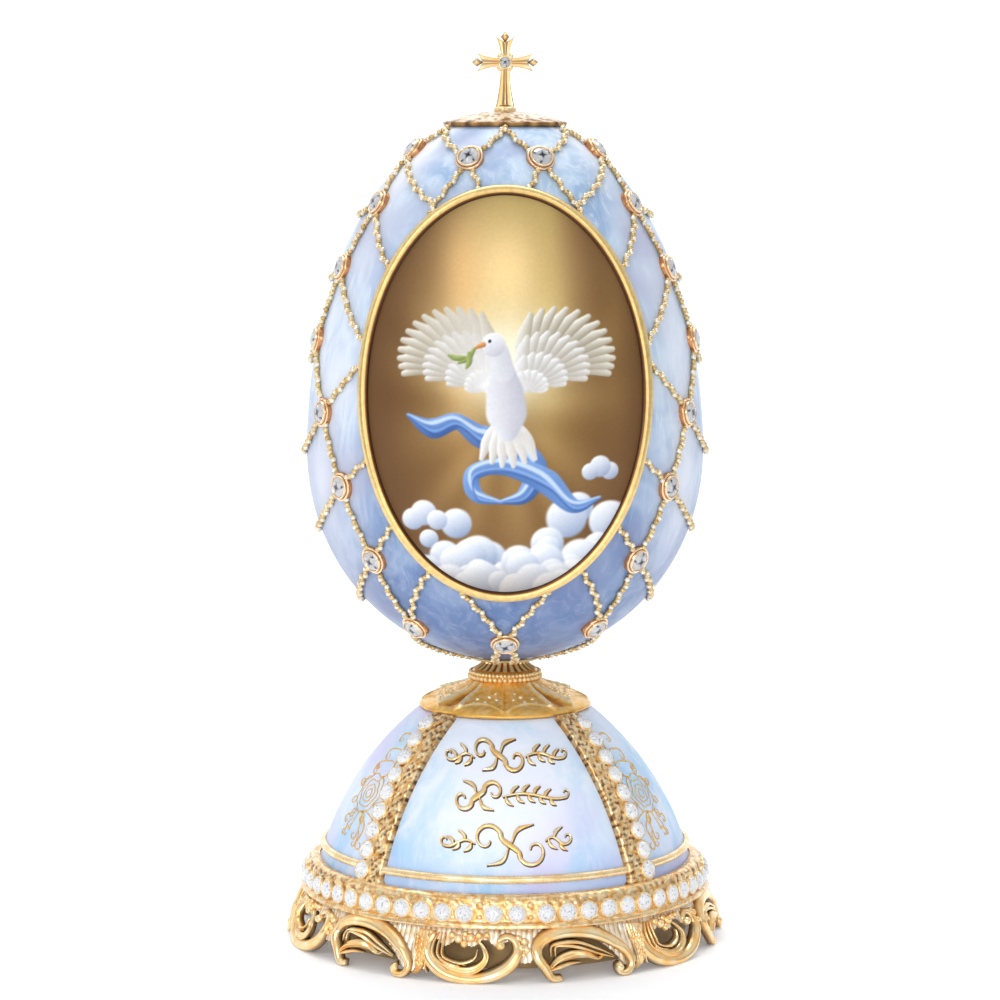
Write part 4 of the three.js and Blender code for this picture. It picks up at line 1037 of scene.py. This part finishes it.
def make_ribs():
    """The ribs and rounded panel corners as one hammered relief that dips under the glaze."""
    columns, rows = 900, 150
    turns = np.linspace(-180, 180, columns, endpoint=False)
    turn, z = np.meshgrid(turns, np.linspace(BAND_BOTTOM_Z + 0.6, DOME_TOP_Z - 0.3, rows))
    point, _ = on_surface(dome_r, turn, z)
    half_turn = (turn + 360) % 180
    off = np.radians(np.minimum(half_turn, 180 - half_turn) - 45) * dome_r(z)
    strip = np.abs(off + 1.55) - 2.2
    cup = np.full_like(off, 9.0)
    for stone_z in rib_stones():
        slant = 1 / np.sqrt(1 + (stone_z / DOME_ARC_RADIUS) ** 2)
        cup = np.minimum(cup, np.hypot(off - RIB_STONE_ASIDE, (z - stone_z) / slant) - 2.25)
    link = np.abs(off - 1.2) - 1.5
    rib = np.minimum(np.minimum(strip, cup), link)
    band = z - BAND_TOP_Z
    soft = 1.6
    blend = np.clip(0.5 + 0.5 * (band - rib) / soft, 0, 1)
    field = band * (1 - blend) + rib * blend - soft * blend * (1 - blend)
    rise = smooth(0.35, -0.55, field)
    hammer, pits = wave_noise(point, 1.7, 6, 3), wave_noise(point, 1.1, 16, 2)
    groove = 0.25 * np.exp(-(((off + 0.2) / 0.22) ** 2)) * smooth(BAND_TOP_Z, BAND_TOP_Z + 2, z)
    height = -0.5 + rise * (1.72 + 0.14 * hammer + 0.08 * pits - groove)
    # Painted shade in the hollows of the hammering and where the relief dips down to the glaze.
    tone = 0.9 * smooth(0.0, -0.55, 0.6 * hammer + 0.6 * pits) + 0.4 * smooth(0.9, 0.4, rise)
    verts = on_surface(dome_r, turn, z, height)[0].reshape(-1, 3)
    quads = grid_faces(rows, columns)
    used, faces = renumber(quads[(rise.ravel()[quads] > 0.001).any(axis=1)])
    heap = Heap()
    heap.add(verts[used], faces, 0, np.clip(tone, 0, 1).ravel()[used])
    heap.piece("dome_frame_relief", [GOLD_HAMMERED], "gilt_metal", ["dome_frame"])


def make_band():
    """The band under the dome: a lip below and a hammered face with small knobs between the stones."""
    heap = Heap()
    profile = [
        (40.5, 10.9), (44.55, 10.9), (44.85, 11.2), (44.8, 11.75), (44.35, 12.05), (43.95, 12.2),
        (43.85, 13.0), (43.65, 14.6), (43.35, 15.8), (43.1, 16.5), (42.7, 17.1), (41.8, 17.6), (40.8, 17.5),
    ]
    verts, faces = lathe(smooth_line(profile, 46), 640)
    angle = angle_of(verts)
    middle = smooth(12.2, 13, verts[:, 2]) * smooth(17.4, 16.8, verts[:, 2])
    hammer, pits = wave_noise(verts, 1.8, 8, 3), wave_noise(verts, 1.1, 17, 2)
    push = (0.18 * hammer + 0.08 * pits) * middle + 0.05 * wave_noise(verts, 2.5, 12, 2)
    verts[:, :2] *= (1 + push / 43.5)[:, None]
    # Painted shade in the hollows of the hammering, stronger on the middle face and far stronger towards the
    # left and right sides.
    painted_side_shade = 0.35 + 0.65 * smooth(0.5, 0.95, np.abs(np.sin(angle)))
    tone = smooth(0.05, -0.55, 0.6 * hammer + 0.6 * pits) * (0.4 + 0.6 * middle) * painted_side_shade
    heap.add(verts, faces, 0, 0.95 * tone)
    for turn in band_turns(7):
        for z, size in ((15.6, [0.8, 0.9, 0.6]), (13.2, [0.6, 0.6, 0.5])):
            heap.add(stand(BALL[0] * size, *on_band(turn, z)), BALL[1])
    heap.piece("dome_band", [GOLD_HAMMERED], "gilt_metal")


def make_hoop():
    heap = Heap()
    count = 160
    turns = np.linspace(0, 360, count, endpoint=False)
    angles = np.linspace(0, 2 * math.pi, 14, endpoint=False)
    section = [(0.8 * math.cos(a), 0.75 * math.sin(a)) for a in angles]
    rings = np.stack([on_surface(dome_r, turns, HOOP_Z + dz, 0.3 + out)[0] for dz, out in section])
    rings = np.concatenate([rings, rings[:1]])
    heap.add(rings, grid_faces(len(section) + 1, count).tolist())
    heap.piece("dome_hoop", [GOLD_SATIN], "gilt_metal")


def band_turns(offset):
    return [quarter + side * offset for quarter in (0, 90, 180, 270) for side in (-1, 1)]


def on_band(turn, z):
    """A point on the band's face, and the way out of it."""
    angle = math.radians(turn)
    return around(angle, np.interp(z, [12.2, 14.6, 16.5], [43.95, 43.65, 43.1]), z), around(angle, 0.99, 0.12)


def make_pave():
    """Small cut stones in gilt cups on the band and the ribs."""
    cups, stones = Heap(), Heap()
    cup, cup_faces = lathe([(1.95, -0.5), (2.08, 0.25), (1.95, 0.5), (1.8, 0.42), (1.74, 0.1)], 24)
    turns = [turn for k in range(6) for turn in band_turns(11.2 + 6.145 * k)] + band_turns(3.2)
    seats = [on_band(turn, 13.95) for turn in turns]
    for rib in RIB_TURNS:
        inward = 1 if rib in (45, 225) else -1
        for z in rib_stones():
            turn = rib + inward * math.degrees(RIB_STONE_ASIDE / float(dome_r(z)))
            seats.append(on_surface(dome_r, turn, z, 1.05))
    (cut, cut_faces, _), (foil, foil_faces, _) = gem(1.8, 0.95, 0.8, 0.3, 9)
    for point, normal in seats:
        normal = normal / np.linalg.norm(normal)
        spin = rng.uniform(0, 6.28)
        cups.add(stand(cup, point, normal), cup_faces)
        cups.add(stand(foil, point + normal * 0.4, normal, spin), foil_faces, 1, rng.uniform(0.9, 1.0))
        stones.add(stand(cut, point + normal * 0.4, normal, spin), cut_faces)
    cups.piece("pave_cups", [GOLD_SATIN, WHITE_FOIL], "gilt_metal", [], [1])
    stones.piece("pave_stones", [STONE], "crystal", [], [0])


def s_scroll(x, z, size, flip=1, lean=0.0):
    """A line with a spiral at each end, round a middle point."""
    first = spiral((x - 0.62 * size, z + lean), 0.42 * size, 0, 0.95 * flip, 0.22, 14)[::-1]
    second = spiral((x + 0.62 * size, z - lean), 0.42 * size, 180, 0.95 * flip, 0.22, 14)
    return np.concatenate([first, second])


def make_strokes():
    """Three rows of gilt flourishes on the front panel: leafy sprigs and broad scrolls, with a fine painted
    shadow.
    """
    gilt, shade = Heap(), Heap()
    place = on_dome(0)

    def line(points, widths):
        shape = smooth_line(points, max(16, 4 * len(points)))
        gilt.add(*relief(place, shape, widths, [0.36], -0.1, 0, 7))
        # Painted shadow: a darker, wider copy of each stroke, set a little to the right and down.
        shade.add(*relief(place, shape + [0.16, -0.18], [w + 0.2 for w in widths], [0.14], -0.1, 0, 5))

    def scroll(x, z, size, flip):
        """A broad scroll with a curl at each end and two leaves that cross its middle."""
        line(s_scroll(x, z, size, flip, 0.14 * size * flip), [0.4, 0.85, 1.35, 0.85, 0.4])
        for side in (-1, 1):
            rise = 0.5 * size * flip * side
            middle, tip = (x + side * 0.2 * size, z + rise * 0.75), (x + side * 0.62 * size, z + rise)
            line([(x + side * 0.3, z + 0.1 * rise), middle, tip], [0.3, 1.05, 0.15])

    def sprig(x0, x1, z, size, leaves):
        """A waving stem from x0 to x1 that ends in a curl, with leaves in turn above and below it."""
        way = 1 if x1 > x0 else -1
        stem = [(x0 + (x1 - x0) * t, z + 0.35 * size * math.sin(5.2 * t)) for t in np.linspace(0, 1, 7)]
        end = stem[-1]
        curl = spiral((end[0], end[1] + 0.5 * size), 0.5 * size, -90, 0.7 * way, 0.45, 8)
        line(np.concatenate([stem[:-1], curl]), [0.3, 0.6, 0.65, 0.55, 0.3])
        for i in range(leaves):
            t = 0.86 * (i + 0.5) / leaves
            x = x0 + (x1 - x0) * t * 0.92
            root = z + 0.35 * size * math.sin(5.2 * t * 0.92)
            up = 1 if i % 2 else -1
            reach = size * (1.0 - 0.25 * t)
            shares = ((0.28, 0.62), (0.95, 1))
            leaf = [(x + way * a * reach, root + up * b * reach) for a, b in shares]
            line([(x, root), *leaf], [0.25, 0.95, 0.7, 0.12])

    scroll(-1.4, 44.0, 5.8, 1)
    sprig(-6.6, -12.4, 43.4, 1.9, 4)
    sprig(4.2, 12.8, 43.6, 1.8, 6)
    scroll(-5.8, 36.4, 5.4, -1)
    sprig(-0.6, 13.0, 36.2, 1.8, 9)
    scroll(1.0, 27.0, 8.0, 1)
    sprig(-6.4, -13.0, 27.2, 2.0, 4)
    sprig(8.4, 13.2, 27.6, 2.2, 3)
    gilt.piece("panel_flourishes", [GOLD], "gilt_metal")
    shade.piece("panel_flourish_shade", [LINE_DARK], "gilt_metal")


def make_scrollwork():
    """Fine gilt lines on the side panels and the back: a rose among leafy scrolls, beside each rib."""
    heap = Heap()

    def scrollwork(turn, flip):
        place = on_dome(turn)

        def line(points, width=0.4):
            points = [(flip * a, b) for a, b in points]
            shape = smooth_line(points, max(14, 3 * len(points)))
            heap.add(*relief(place, shape, [width * 0.4, width, width, width * 0.35], [0.14], -0.06, 0, 5))

        def curl(start, middle, centre, radius, angle, turns, width=0.38):
            line(np.concatenate([[start, middle], spiral(centre, radius, angle, turns)]), width)

        line([(-4.4, 49.0), (-2.4, 47.4), (-1.8, 44.6), (-2.6, 41.0), (-2.6, 38.6), (-0.8, 36.6)], 0.6)
        curl((-1.8, 44.6), (-0.4, 45.8), (1.4, 44.8), 1.25, 110, -0.85)
        curl((-2.2, 42.6), (-0.4, 43.0), (1.8, 41.4), 1.5, 110, -0.9)
        curl((-2.7, 40.2), (-0.6, 40.6), (2.7, 38.9), 1.3, 110, -0.85)
        curl((-2.2, 43.0), (-3.6, 43.4), (-4.6, 42.4), 0.9, 80, 0.85)
        curl((-2.6, 39.6), (-4.4, 39.6), (-5.0, 38.2), 1.0, 80, 0.9)
        rose_x, rose_z = 0.6, 33.8
        for radius, petals, phase in ((3.5, 7, 0.0), (2.5, 6, 0.5), (1.6, 5, 0.2), (0.8, 4, 0.4)):
            a = np.linspace(0, 2 * math.pi, 56)
            r = radius * (1 + 0.14 * np.abs(np.sin(petals * (a + phase) / 2)))
            line(np.stack([rose_x + r * np.cos(a) * 1.15, rose_z + r * np.sin(a)], -1), 0.36)
        for a in (15, 60, 165, 205, 250, 300, 335):
            c, s = math.cos(math.radians(a)), math.sin(math.radians(a))
            leaf = [(3.9, 0), (5.2, 0.7), (6.4, 0), (5.1, -0.7), (3.9, 0)]
            line([(rose_x + 1.1 * (p * c - q * s), rose_z + p * s + q * c) for p, q in leaf], 0.32)
        curl((-0.4, 30.2), (-1.6, 27.6), (-0.6, 25.4), 1.2, 160, 0.85, 0.5)
        curl((0.2, 30.2), (-3.4, 27.6), (-3.9, 23.8), 1.4, 60, -0.95, 0.55)
        curl((0.8, 30.0), (1.9, 27.0), (3.2, 25.2), 1.3, 140, -0.9, 0.5)
        curl((1.6, 30.2), (4.0, 29.0), (5.4, 27.6), 1.2, 120, -0.9)
        curl((-1.2, 30.6), (-4.0, 29.8), (-5.0, 28.4), 1.0, 80, 0.9)
        curl((-0.9, 37.4), (-3.2, 38.0), (-4.6, 36.6), 1.1, 80, 0.9, 0.34)
        curl((2.6, 37.0), (4.4, 36.6), (5.0, 35.0), 1.0, 100, -0.9, 0.34)
        curl((-3.0, 32.0), (-4.8, 32.6), (-5.6, 31.4), 0.9, 80, 0.9, 0.34)
        curl((-1.4, 27.0), (-2.6, 25.6), (-1.6, 23.8), 0.9, 160, 0.85, 0.34)
        curl((2.2, 28.4), (3.8, 27.2), (4.4, 25.0), 0.9, 120, -0.85, 0.34)

    for side in (-1, 1):
        scrollwork(side * 61, side)
        scrollwork(side * 119, -side)
        scrollwork(180 + side * 26, side)
    heap.piece("panel_scrollwork", [GOLD_PAINTED], "gilt_metal")


def on_foot(turn_mid):
    """Places flat points, [millimetres round from an element's middle, height], on the flared foot."""

    def place(x, z, out):
        return around(math.radians(turn_mid) + x / FOOT_ROUND_RADIUS, foot_r(z) + out, z)

    return place


def foot_openings(turn, z):
    """True where the foot's sheet is open, from the turn in degrees and the height."""
    local = (turn - SCROLL_TURN + FOOT_PERIOD / 2) % FOOT_PERIOD - FOOT_PERIOD / 2
    x_open = np.radians(local) * FOOT_ROUND_RADIUS
    x_wave = np.radians((local + FOOT_PERIOD) % FOOT_PERIOD - FOOT_PERIOD / 2) * FOOT_ROUND_RADIUS
    in_open = np.abs(x_open) < 10.6
    lower = np.where(in_open, 8.6 - 1.4 * np.cos(x_open * 0.55) ** 2, 4.0)
    in_wave = np.abs(x_wave) < 12.0
    lower = np.where(in_wave & ~in_open, 9.4 - 0.055 * (x_wave + 2.0) ** 2, lower)
    behind_claw = np.abs(x_wave - 13.2) < 1.3
    return z < np.where(behind_claw, 2.2, lower)


def make_foot_cove():
    """The fluted sheet behind the scrolls, open where they are."""
    heap = Heap()
    columns, rows = 1440, 40
    turns = np.linspace(-180, 180, columns, endpoint=False)
    turn, z = np.meshgrid(turns, np.linspace(1.5, BAND_BOTTOM_Z - 0.3, rows))
    uneven = wave_noise(np.stack([turn * 0.8, z], -1), 3, 3, 2)
    flute = 0.2 * np.abs(np.sin(np.radians(turn) * 120)) + 0.1 * uneven
    verts = around(np.radians(turn), foot_r(z) + flute - 0.25, z).reshape(-1, 3)
    quads = grid_faces(rows, columns)
    half_column = 180 / columns
    is_open = foot_openings(turn.ravel()[quads[:, 0]] + half_column, z.ravel()[quads].mean(axis=1))
    used, faces = renumber(quads[~is_open])
    # Painted shade between the flutes and towards the top, under the band.
    tone = 0.6 * smooth(0.09, 0.0, flute) + 0.25 * smooth(9.6, 10.4, z)
    heap.add(verts[used], faces, 0, np.clip(tone, 0, 1).ravel()[used])
    heap.piece("foot_cove", [GOLD_COVE], "gilt_metal")


def make_foot():
    """The foot's castings: open scrolls and waves with curled feet, and claws and pearls between them."""
    heap = Heap()
    cluster = [(-0.9, 8.9, 0.75), (0.4, 8.3, 0.85), (-0.3, 7.0, 0.8), (0.9, 6.7, 0.7), (-1.3, 7.7, 0.6)]
    cluster.append((0.2, 5.7, 0.6))
    for k in range(6):
        wave_turn = SCROLL_TURN + FOOT_PERIOD * (k + 0.5)
        open_scroll(heap, on_foot(SCROLL_TURN + FOOT_PERIOD * k))
        wave(heap, on_foot(wave_turn))
        claw(heap, on_foot(wave_turn + math.degrees(13.4 / FOOT_ROUND_RADIUS)))
        pearls(heap, on_foot(wave_turn - math.degrees(13.3 / FOOT_ROUND_RADIUS)), 0.1, cluster)
    heap.piece("foot_scrolls", [GOLD], "gilt_metal", ["foot_skirt"])


def stroke_on(heap, place, points, widths, heights, count, ridges=0, across=11):
    heap.add(*relief(place, smooth_line(points, count), widths, heights, -0.7, ridges, across))


def pearls(heap, place, out, spots):
    """Small balls at [x, height, size] on the foot."""
    for x, z, size in spots:
        heap.ball(place(x, z, out), size)


def open_scroll(heap, place):
    """A broad bowl-shaped scroll whose ends curl in, with a leaf inside it."""
    bowl = [
        (-8.4, 9.6), (-9.6, 7.6), (-9.4, 5.2), (-7.4, 3.0), (-4.2, 1.5), (0, 0.95), (4.2, 1.6), (7.8, 3.4),
        (9.8, 6.0), (9.4, 8.4), (7.6, 9.3), (5.9, 8.5), (6.2, 7.4),
    ]
    bowl_widths = [1.5, 2.5, 3.1, 3.2, 2.8, 2.5, 2.8, 3.1, 3.0, 2.3, 1.6, 1.2]
    stroke_on(heap, place, bowl, bowl_widths, [0.5, 1.0, 1.4, 1.5, 1.4, 1.5, 1.3, 0.9, 0.6], 70)
    for shift, width in ((0.0, 0.8), (1.1, 0.75), (2.1, 0.65)):
        inner = [(-7.5 + shift * 0.7, 9.7), (-8.3 + shift, 7.5), (-8.0 + shift, 5.4)]
        inner += [(-5.9 + shift * 0.8, 3.6 + shift * 0.4), (-3.0 + shift, 2.9 + shift * 0.3)]
        stroke_on(heap, place, inner, [0.4, width, width, 0.7, 0.3], [0.5, 1.1, 1.15, 0.8, 0.4], 26, 0, 7)
    leaf = [(-6.6, 4.6), (-3.6, 2.9), (-0.4, 2.5), (2.2, 3.6), (3.3, 5.6), (2.2, 7.6), (0.9, 8.4)]
    leaf_widths, leaf_heights = [0.9, 1.6, 2.0, 2.1, 1.7, 1.1, 0.4], [0.7, 1.1, 1.3, 1.2, 1.0, 0.7, 0.4]
    stroke_on(heap, place, leaf, leaf_widths, leaf_heights, 40, 3)
    vein = [(-4.8, 4.5), (-1.8, 4.0), (0.8, 5.0), (1.4, 6.8)]
    stroke_on(heap, place, vein, [0.4, 0.9, 0.9, 0.3], [0.5, 0.9, 0.9, 0.5], 24, 0, 7)
    spots = [(-2.9, 8.6, 1.0), (-1.6, 7.7, 0.8), (-0.2, 8.9, 1.05), (1.5, 9.4, 0.8), (-4.4, 9.3, 0.8)]
    pearls(heap, place, 0.2, [*spots, (3.2, 9.5, 0.7), (-1.5, 9.6, 0.7)])
    heap.ball(place(6.2, 7.6, 0.6), [1.05, 1.05, 0.95])


def wave(heap, place):
    """A wave: a broad arch from a curled foot on the left to a curl on the right, with leaves under it."""
    arch = [
        (-5.3, 0.9), (-7.2, 1.0), (-8.7, 3.2), (-10.2, 5.4), (-9.9, 7.7), (-7.4, 9.4), (-3.0, 10.1),
        (1.6, 9.6), (5.8, 8.0), (9.2, 5.6), (10.8, 2.9), (9.8, 0.95), (7.8, 0.9), (7.2, 2.2), (8.1, 2.8),
    ]
    arch_widths = [1.4, 2.1, 2.5, 2.9, 3.2, 3.3, 3.5, 3.5, 3.3, 3.0, 2.7, 2.4, 1.9, 1.4, 1.0]
    arch_heights = [0.8, 1.1, 1.2, 1.2, 1.35, 1.4, 1.4, 1.4, 1.4, 1.3, 1.3, 1.2, 1.1, 0.9]
    stroke_on(heap, place, arch, arch_widths, arch_heights, 86)
    for k, width in enumerate((0.9, 0.8)):
        shift = 1.5 + 1.3 * k
        inner = [(-8.6 + shift * 0.8, 5.2), (-7.9 + shift * 0.6, 7.3 - 0.2 * k)]
        inner += [(-4.6 + 0.3 * shift, 8.6 - shift * 0.5), (-0.6, 8.7 - shift * 0.75)]
        inner += [(3.6, 7.0 - shift * 0.7), (6.8, 4.6 - shift * 0.2)]
        widths = [0.3, width, width * 1.2, width, 0.7, 0.25]
        stroke_on(heap, place, inner, widths, [0.4, 0.9, 1.0, 0.9, 0.7, 0.4], 34, 0, 7)
    leaf = [(-7.6, 3.0), (-5.6, 4.6), (-2.6, 5.4), (0.6, 5.2), (3.0, 4.2), (4.4, 4.9)]
    stroke_on(heap, place, leaf, [0.8, 1.7, 2.1, 1.9, 1.2, 0.3], [0.8, 1.1, 1.25, 1.15, 0.9, 0.4], 36, 2)
    vein = [(-7.9, 2.4), (-6.0, 3.0), (-3.4, 3.7), (-0.9, 3.8)]
    stroke_on(heap, place, vein, [0.5, 1.1, 0.9, 0.2], [0.6, 1.0, 0.9, 0.4], 22, 0, 7)
    heap.ball(place(7.7, 1.9, 0.5), [0.95, 0.95, 0.9])


def claw(heap, place):
    """A ribbed sheet that narrows to a curled tip between two scrolls, with rows of small beads on it."""
    sheet = [(0.2, 10.0), (0.0, 7.0), (0.1, 4.2), (-0.4, 2.2), (-1.7, 1.2)]
    stroke_on(heap, place, sheet, [5.4, 4.6, 3.4, 2.0, 0.5], [0.25, 0.6, 0.75, 0.8, 0.4], 40, 7, 43)
    edge = [(1.9, 8.6), (1.5, 5.4), (1.2, 3.0), (1.7, 1.6)]
    stroke_on(heap, place, edge, [0.6, 1.0, 0.9, 0.3], [0.5, 0.9, 1.0, 0.4], 24, 0, 7)
    for i in range(6):
        for x in (-1.1, 0.0, 1.1):
            heap.ball(place(x * (1.1 - i * 0.1), 8.2 - i * 1.0 + 0.3 * abs(x), 0.75), [0.32, 0.32, 0.5])


def make_drum():
    heap = Heap()
    heap.add(*lathe([(0.1, 1.3), (39.6, 1.3), (40.0, 1.6), (40.0, 10.9), (39.7, 11.2), (0.1, 11.2)], 128))
    heap.piece("drum_bronze", [BRONZE], "bronze", ["base_drum"])


make_egg()
make_beads()
make_bezels()
make_picture_frame()
make_picture()
make_cap()
make_cross()
make_neck()
make_dome()
make_ribs()
make_band()
make_hoop()
make_pave()
make_strokes()
make_scrollwork()
make_foot_cove()
make_foot()
make_drum()


# Floor, light and camera
def make_floor():
    """A pale floor that curves up into a backdrop."""
    glow = {"Emission_Color": (0.97, 0.98, 1.0, 1), "Emission_Strength": 0.15}
    made, tree, shader = material("StudioPaper", Roughness=0.9, Specular_IOR_Level=0.1, **glow)
    grain = ramp_node(tree, noise_node(tree, 30, 2), [(0.3, 0.93), (0.7, 0.95)])
    tree.links.new(grain, shader.inputs["Base Color"])
    profile = [(-1.6, 0.0), (0.9, 0.0)]
    profile += [(0.9 + 0.5 * math.sin(a), 0.5 - 0.5 * math.cos(a)) for a in np.linspace(0.1, math.pi / 2, 12)]
    profile.append((1.4, 2.2))
    verts = [(x, y, z) for y, z in profile for x in (-2.5, 2.5)]
    mesh = bpy.data.meshes.new("studio_floor")
    mesh.from_pydata(verts, [], [(2 * i, 2 * i + 1, 2 * i + 3, 2 * i + 2) for i in range(len(profile) - 1)])
    mesh.polygons.foreach_set("use_smooth", [True] * len(mesh.polygons))
    mesh.materials.append(made)
    floor = bpy.data.objects.new("studio_floor", mesh)
    bpy.context.scene.collection.objects.link(floor)


def hang_light(name, kind, place, target, power, **values):
    light = bpy.data.lights.new(name, kind)
    light.energy = power
    for key, value in values.items():
        setattr(light, key, value)
    obj = bpy.data.objects.new(name, light)
    obj.location = place
    obj.rotation_euler = (Vector(target) - Vector(place)).to_track_quat("-Z", "Y").to_euler()
    bpy.context.scene.collection.objects.link(obj)


def make_studio():
    make_floor()
    middle = (0, 0, 0.1)
    white, cool = (1, 1, 1), (0.95, 0.97, 1.0)
    panels = [
        ("side", (-0.8, 0.1, 0.3), middle, (0.34, 0.7), 0.7, white),
        ("key", (-0.45, -0.85, 0.55), middle, (0.34, 0.44), 2.1, white),
        ("card", (0.1, -1.3, 0.25), middle, (1.1, 0.7), 2.4, white),
        ("fill", (0.85, 0.05, 0.25), middle, (0.12, 0.6), 0.2, cool),
        ("top", (0.0, 0.1, 0.9), middle, (0.6, 0.6), 1.2, white),
        ("front", (0.3, -1.1, 0.4), middle, (0.16, 0.4), 0.9, white),
        ("backdrop", (0.0, 0.55, 1.5), (0, 1.3, 0.4), (1.6, 0.5), 16.0, white),
    ]
    for name, place, target, (width, height), power, colour in panels:
        panel = {"shape": "RECTANGLE", "size": width, "size_y": height, "color": colour}
        hang_light(name, "AREA", place, target, power, **panel)
    beam = {"spot_size": math.radians(11), "spot_blend": 1.0, "shadow_soft_size": 0.08}
    hang_light("low", "SPOT", (-0.12, -0.95, 0.15), (0, 0, 0.036), 9.5, **beam)
    world = bpy.data.worlds.new("Studio")
    world.use_nodes = True
    tree = world.node_tree
    sky = new_node(tree, "ShaderNodeTexCoord").outputs["Generated"]
    up = new_node(tree, "ShaderNodeSeparateXYZ", Vector=sky).outputs["Z"]
    stops = [(0.0, (0.26, 0.26, 0.27)), (0.08, (0.1, 0.1, 0.11))]
    stops += [(0.3, (0.27, 0.28, 0.3)), (0.55, (0.6, 0.62, 0.65))]
    tree.links.new(ramp_node(tree, up, stops), tree.nodes["Background"].inputs["Color"])
    tree.nodes["Background"].inputs["Strength"].default_value = 1.0
    bpy.context.scene.world = world
    bpy.context.scene.view_settings.view_transform = "Standard"


def make_camera():
    """A long lens, a little above the ornament, as far off as the photo's perspective shows."""
    elevation, distance, aim_z, aside = math.radians(6.5), 0.72, 0.0956, -0.0011
    camera = bpy.data.objects.new("camera", bpy.data.cameras.new("camera"))
    camera.data.lens = 118.8
    camera.data.sensor_width = 36
    camera.data.clip_start = 0.05
    camera.location = (aside, -distance * math.cos(elevation), aim_z + distance * math.sin(elevation))
    camera.rotation_euler = (math.pi / 2 - elevation, 0, 0)
    bpy.context.scene.collection.objects.link(camera)
    bpy.context.scene.camera = camera


make_studio()
make_camera()
